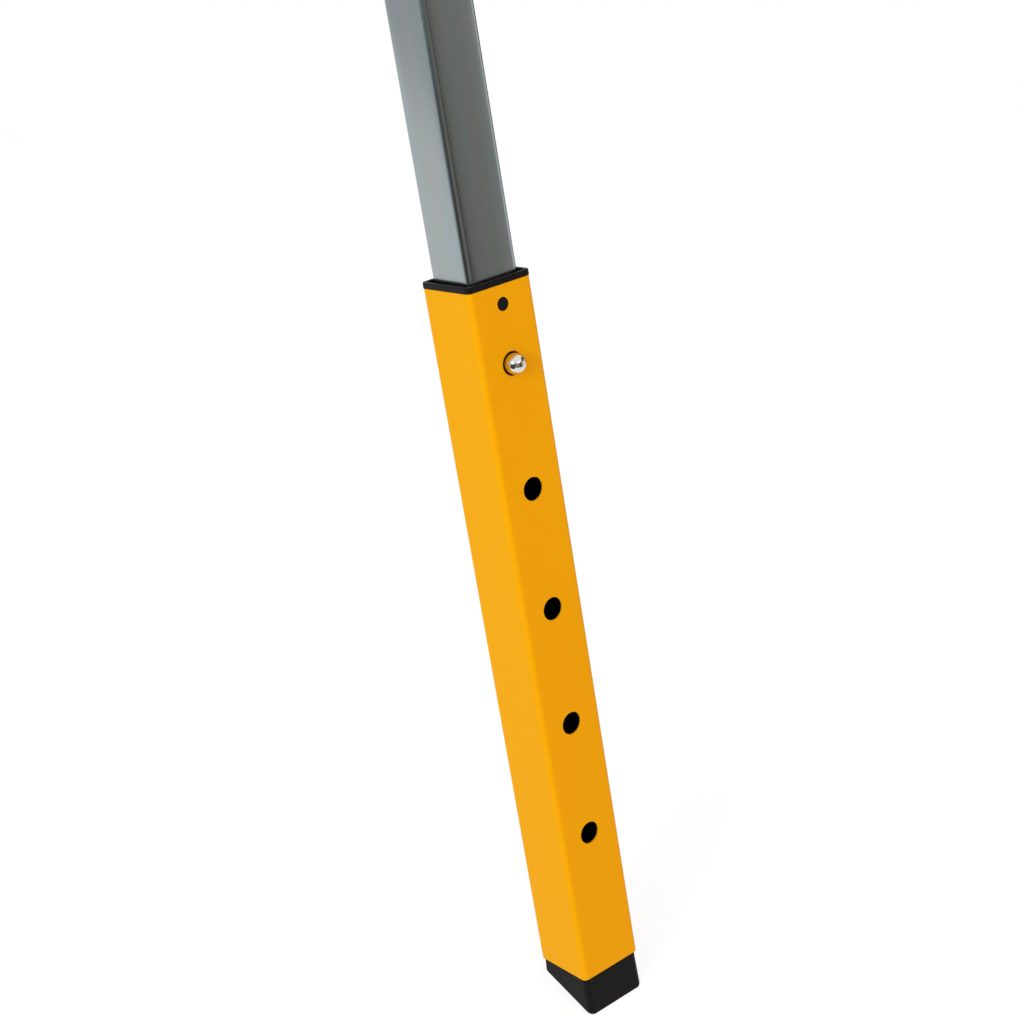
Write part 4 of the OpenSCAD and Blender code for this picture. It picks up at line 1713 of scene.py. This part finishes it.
@dataclass(frozen=True)
class Studio:
    """Floor, light and camera, in metres.

    Attributes:
        floor_half, floor_colour: half the floor's side, and its colour.
        floor_glow: share of the floor's look that is its own white, so that shadows stay faint.
        floor_white: strength of that white.
        shadow_reach: distances from the middle over which the floor turns to plain white.
        white: what the eye and shiny surfaces see all round.
        sky_strength: strength of the light from all round.
        lamps, painted_reflections: soft boxes, and glowing sheets that paint grey, dark and white reflections
            on the metal.
        painted_reflections_round: the point on the floor that the glowing sheets stand round.
        camera_place, camera_near: where the camera stands, and the nearest distance that it sees.
        heading, downward: degrees that it looks to the right of +Y, and down.
        roll: degrees that it is rolled.
        lens: focal length in mm on a 36 mm sensor.
    """

    floor_half: float = 30.0
    floor_colour: str = "#efefef"
    floor_glow: float = 0.72
    floor_white: float = 1.14
    shadow_reach: tuple[float, float] = (1.6, 4.5)
    white: str = "#ffffff"
    sky_strength: float = 0.62
    lamps: tuple[Lamp, ...] = (
        Lamp("key_soft_box", (-2.8, -0.9, 1.9), (0.3, -0.2, 0.5), 1.6, 66.0, "#e0ffff"),
        Lamp("fill_soft_box", (0.6, -2.6, 1.8), (0.4, -0.4, 0.2), 1.6, 12.0, "#ffdcb4"),
    )
    # Glowing sheets round the leg: each paints its colour on the metal and the nickel button as a reflection,
    # the dark ones as painted dark streaks and patches, the white one as a painted highlight.
    painted_reflections: tuple[Board, ...] = (
        Board("back_board", -51.0, 60.0, 1.05, 0.26, "#d0d3d6"),
        Board("corner_board", -9.0, 26.0, 0.7, 0.75, "#c8cacc"),
        Board("left_board", 27.0, 46.0, 0.7, 0.68, "#44423f"),
        Board("camera_board", 62.0, 68.0, 1.9, 1.8, "#8a8885"),
        Board("front_board", 105.0, 22.0, 1.9, 1.8, "#4c4b4a"),
        Board("near_right_board", 121.0, 10.0, 1.9, 1.8, "#93918d"),
        Board("middle_right_board", 133.0, 14.0, 1.9, 1.8, "#a7a5a2"),
        Board("right_board", 149.0, 18.0, 1.9, 1.8, "#ffffff"),
        Board("far_right_board", 200.0, 84.0, 1.9, 1.8, "#e4e4e2"),
        Board("dark_right_board", 166.0, 42.0, 1.7, 0.9, "#2c2a28", low=0.85),
        Board("edge_board", 197.0, 34.0, 0.7, 0.55, "#30302f"),
    )
    painted_reflections_round: tuple[float, float] = (0.4, -0.34)
    camera_place: Triple = (-0.1369, -0.9908, 0.8658)
    camera_near: float = 0.01
    heading: float = 42.959
    downward: float = 37.243
    roll: float = 6.483
    lens: float = 65.726

    def build(self) -> None:
        """Builds the floor, the light, the glowing sheets that paint reflections, and the camera."""
        self.build_floor()
        self.build_sky()
        for lamp in self.lamps:
            self.build_lamp(lamp)
        for painted_reflection in self.painted_reflections:
            self.build_board(painted_reflection)
        self.build_camera()

    @staticmethod
    def _seen(tree: bpy.types.NodeTree) -> bpy.types.Node:
        """Adds nodes that give 1 to rays from the camera, a mirror or glass, and 0 to the rest.

        Args:
            tree: node tree to add to.

        Returns:
            The node that gives that number.
        """
        path = add_node(tree, "LightPath").outputs
        sight = {0: path["Is Camera Ray"], 1: path["Is Glossy Ray"]}
        either = add_node(tree, "Math", sight, operation="MAXIMUM")
        return add_node(tree, "Math", {0: either, 1: path["Is Transmission Ray"]}, operation="MAXIMUM")

    @staticmethod
    def _sheet(name: str, half_x: float, half_y: float, place: Matrix) -> bpy.types.Object:
        """Makes a flat stage piece that looks along its own Z.

        Args:
            name: name of the piece.
            half_x: half its width.
            half_y: half its height.
            place: its place.

        Returns:
            The new object.
        """
        corners = np.array([[-1.0, -1.0, 0.0], [1.0, -1.0, 0.0], [1.0, 1.0, 0.0], [-1.0, 1.0, 0.0]])
        points = placed(corners * [half_x, half_y, 0.0], np.array(place))
        mesh = bpy.data.meshes.new(name)
        mesh.from_pydata(points.tolist(), [], [(0, 1, 2, 3)])
        sheet = linked(name, mesh)
        return sheet

    @staticmethod
    def _facing(place: Triple, target: Triple) -> Matrix:
        """Gives the place of something whose Z looks from a point to a target."""
        way = Vector(target) - Vector(place)
        return Matrix.Translation(place) @ way.to_track_quat("Z", "Y").to_matrix().to_4x4()

    def build_floor(self) -> None:
        """Builds a pale floor that is white to the eye and in reflections, and keeps the shadow."""
        floor = self._sheet("floor", self.floor_half, self.floor_half, Matrix.Identity(4))
        material = bpy.data.materials.new("matt_white_floor")
        tree = cleared(material)
        matt = add_node(tree, "BsdfDiffuse", {"Color": linear(self.floor_colour)})
        white = add_node(tree, "Emission", {"Strength": self.floor_white})
        place = add_node(tree, "TexCoord").outputs["Object"]
        distance = add_node(tree, "VectorMath", {0: place}, operation="LENGTH").outputs["Value"]
        near, far = self.shadow_reach
        ramp = {
            "Value": distance,
            "From Min": near,
            "From Max": far,
            "To Min": self.floor_glow,
            "To Max": 1.0,
        }
        glow = add_node(tree, "MapRange", ramp, interpolation_type="SMOOTHSTEP")
        share = add_node(tree, "Math", {0: self._seen(tree), 1: glow}, operation="MULTIPLY")
        mixed = add_node(tree, "MixShader", {0: share, 1: matt, 2: white})
        add_node(tree, "OutputMaterial", {"Surface": mixed})
        floor.data.materials.append(material)

    def build_sky(self) -> None:
        """Builds the light from all round, which the eye and shiny surfaces see as white."""
        world = bpy.data.worlds.new("white_studio")
        bpy.context.scene.world = world
        tree = cleared(world)
        colour = linear(self.white)
        light = add_node(tree, "Background", {"Color": colour, "Strength": self.sky_strength})
        white = add_node(tree, "Background", {"Color": colour, "Strength": 1.0})
        mixed = add_node(tree, "MixShader", {0: self._seen(tree), 1: light, 2: white})
        add_node(tree, "OutputWorld", {"Surface": mixed})

    def build_lamp(self, lamp: Lamp) -> None:
        """Builds a soft box, whose light leaves along -Z.

        Args:
            lamp: the soft box.
        """
        light = bpy.data.lights.new(lamp.name, "AREA")
        light.size = lamp.size
        light.energy = lamp.power
        light.color = linear(lamp.colour)[:3]
        stand = linked(lamp.name, light)
        stand.matrix_world = self._facing(lamp.place, lamp.target) @ Matrix.Rotation(math.pi, 4, "X")

    def build_board(self, painted_reflection: Board) -> None:
        """Builds a glowing sheet that neither the camera sees nor matt surfaces feel, and that paints a
        reflection on shiny surfaces.

        Args:
            painted_reflection: the sheet.
        """
        bearing = math.radians(painted_reflection.bearing)
        x, y = self.painted_reflections_round
        middle = (
            x - painted_reflection.distance * math.cos(bearing),
            y - painted_reflection.distance * math.sin(bearing),
            painted_reflection.low + painted_reflection.height / 2,
        )
        half_width = painted_reflection.distance * math.tan(math.radians(painted_reflection.spread / 2))
        place = self._facing(middle, (x, y, middle[2]))
        sheet = self._sheet(painted_reflection.name, half_width, painted_reflection.height / 2, place)
        material = bpy.data.materials.new(painted_reflection.name)
        tree = cleared(material)
        # The sheet's glow is what shiny surfaces see: a painted reflection, which lights nothing matt.
        glow = add_node(tree, "Emission", {"Color": linear(painted_reflection.colour), "Strength": 1.0})
        add_node(tree, "OutputMaterial", {"Surface": glow})
        sheet.data.materials.append(material)
        sheet.visible_camera = False
        sheet.visible_diffuse = False
        sheet.visible_shadow = False

    def build_camera(self) -> None:
        """Builds the camera at the photograph's viewpoint."""
        camera = bpy.data.cameras.new("photograph_camera")
        camera.lens = self.lens
        camera.clip_start = self.camera_near
        stand = linked("photograph_camera", camera)
        aim = (
            Matrix.Rotation(math.radians(-self.heading), 4, "Z")
            @ Matrix.Rotation(math.radians(90.0 - self.downward), 4, "X")
            @ Matrix.Rotation(math.radians(self.roll), 4, "Z")
        )
        stand.matrix_world = Matrix.Translation(self.camera_place) @ aim
        bpy.context.scene.camera = stand
        bpy.context.scene.view_settings.view_transform = "Standard"


def main() -> None:
    """Builds the trestle and its studio."""
    logging.basicConfig(level=logging.INFO, format="%(name)s: %(message)s")
    Trestle().build()
    Studio().build()


if __name__ == "__main__":
    main()
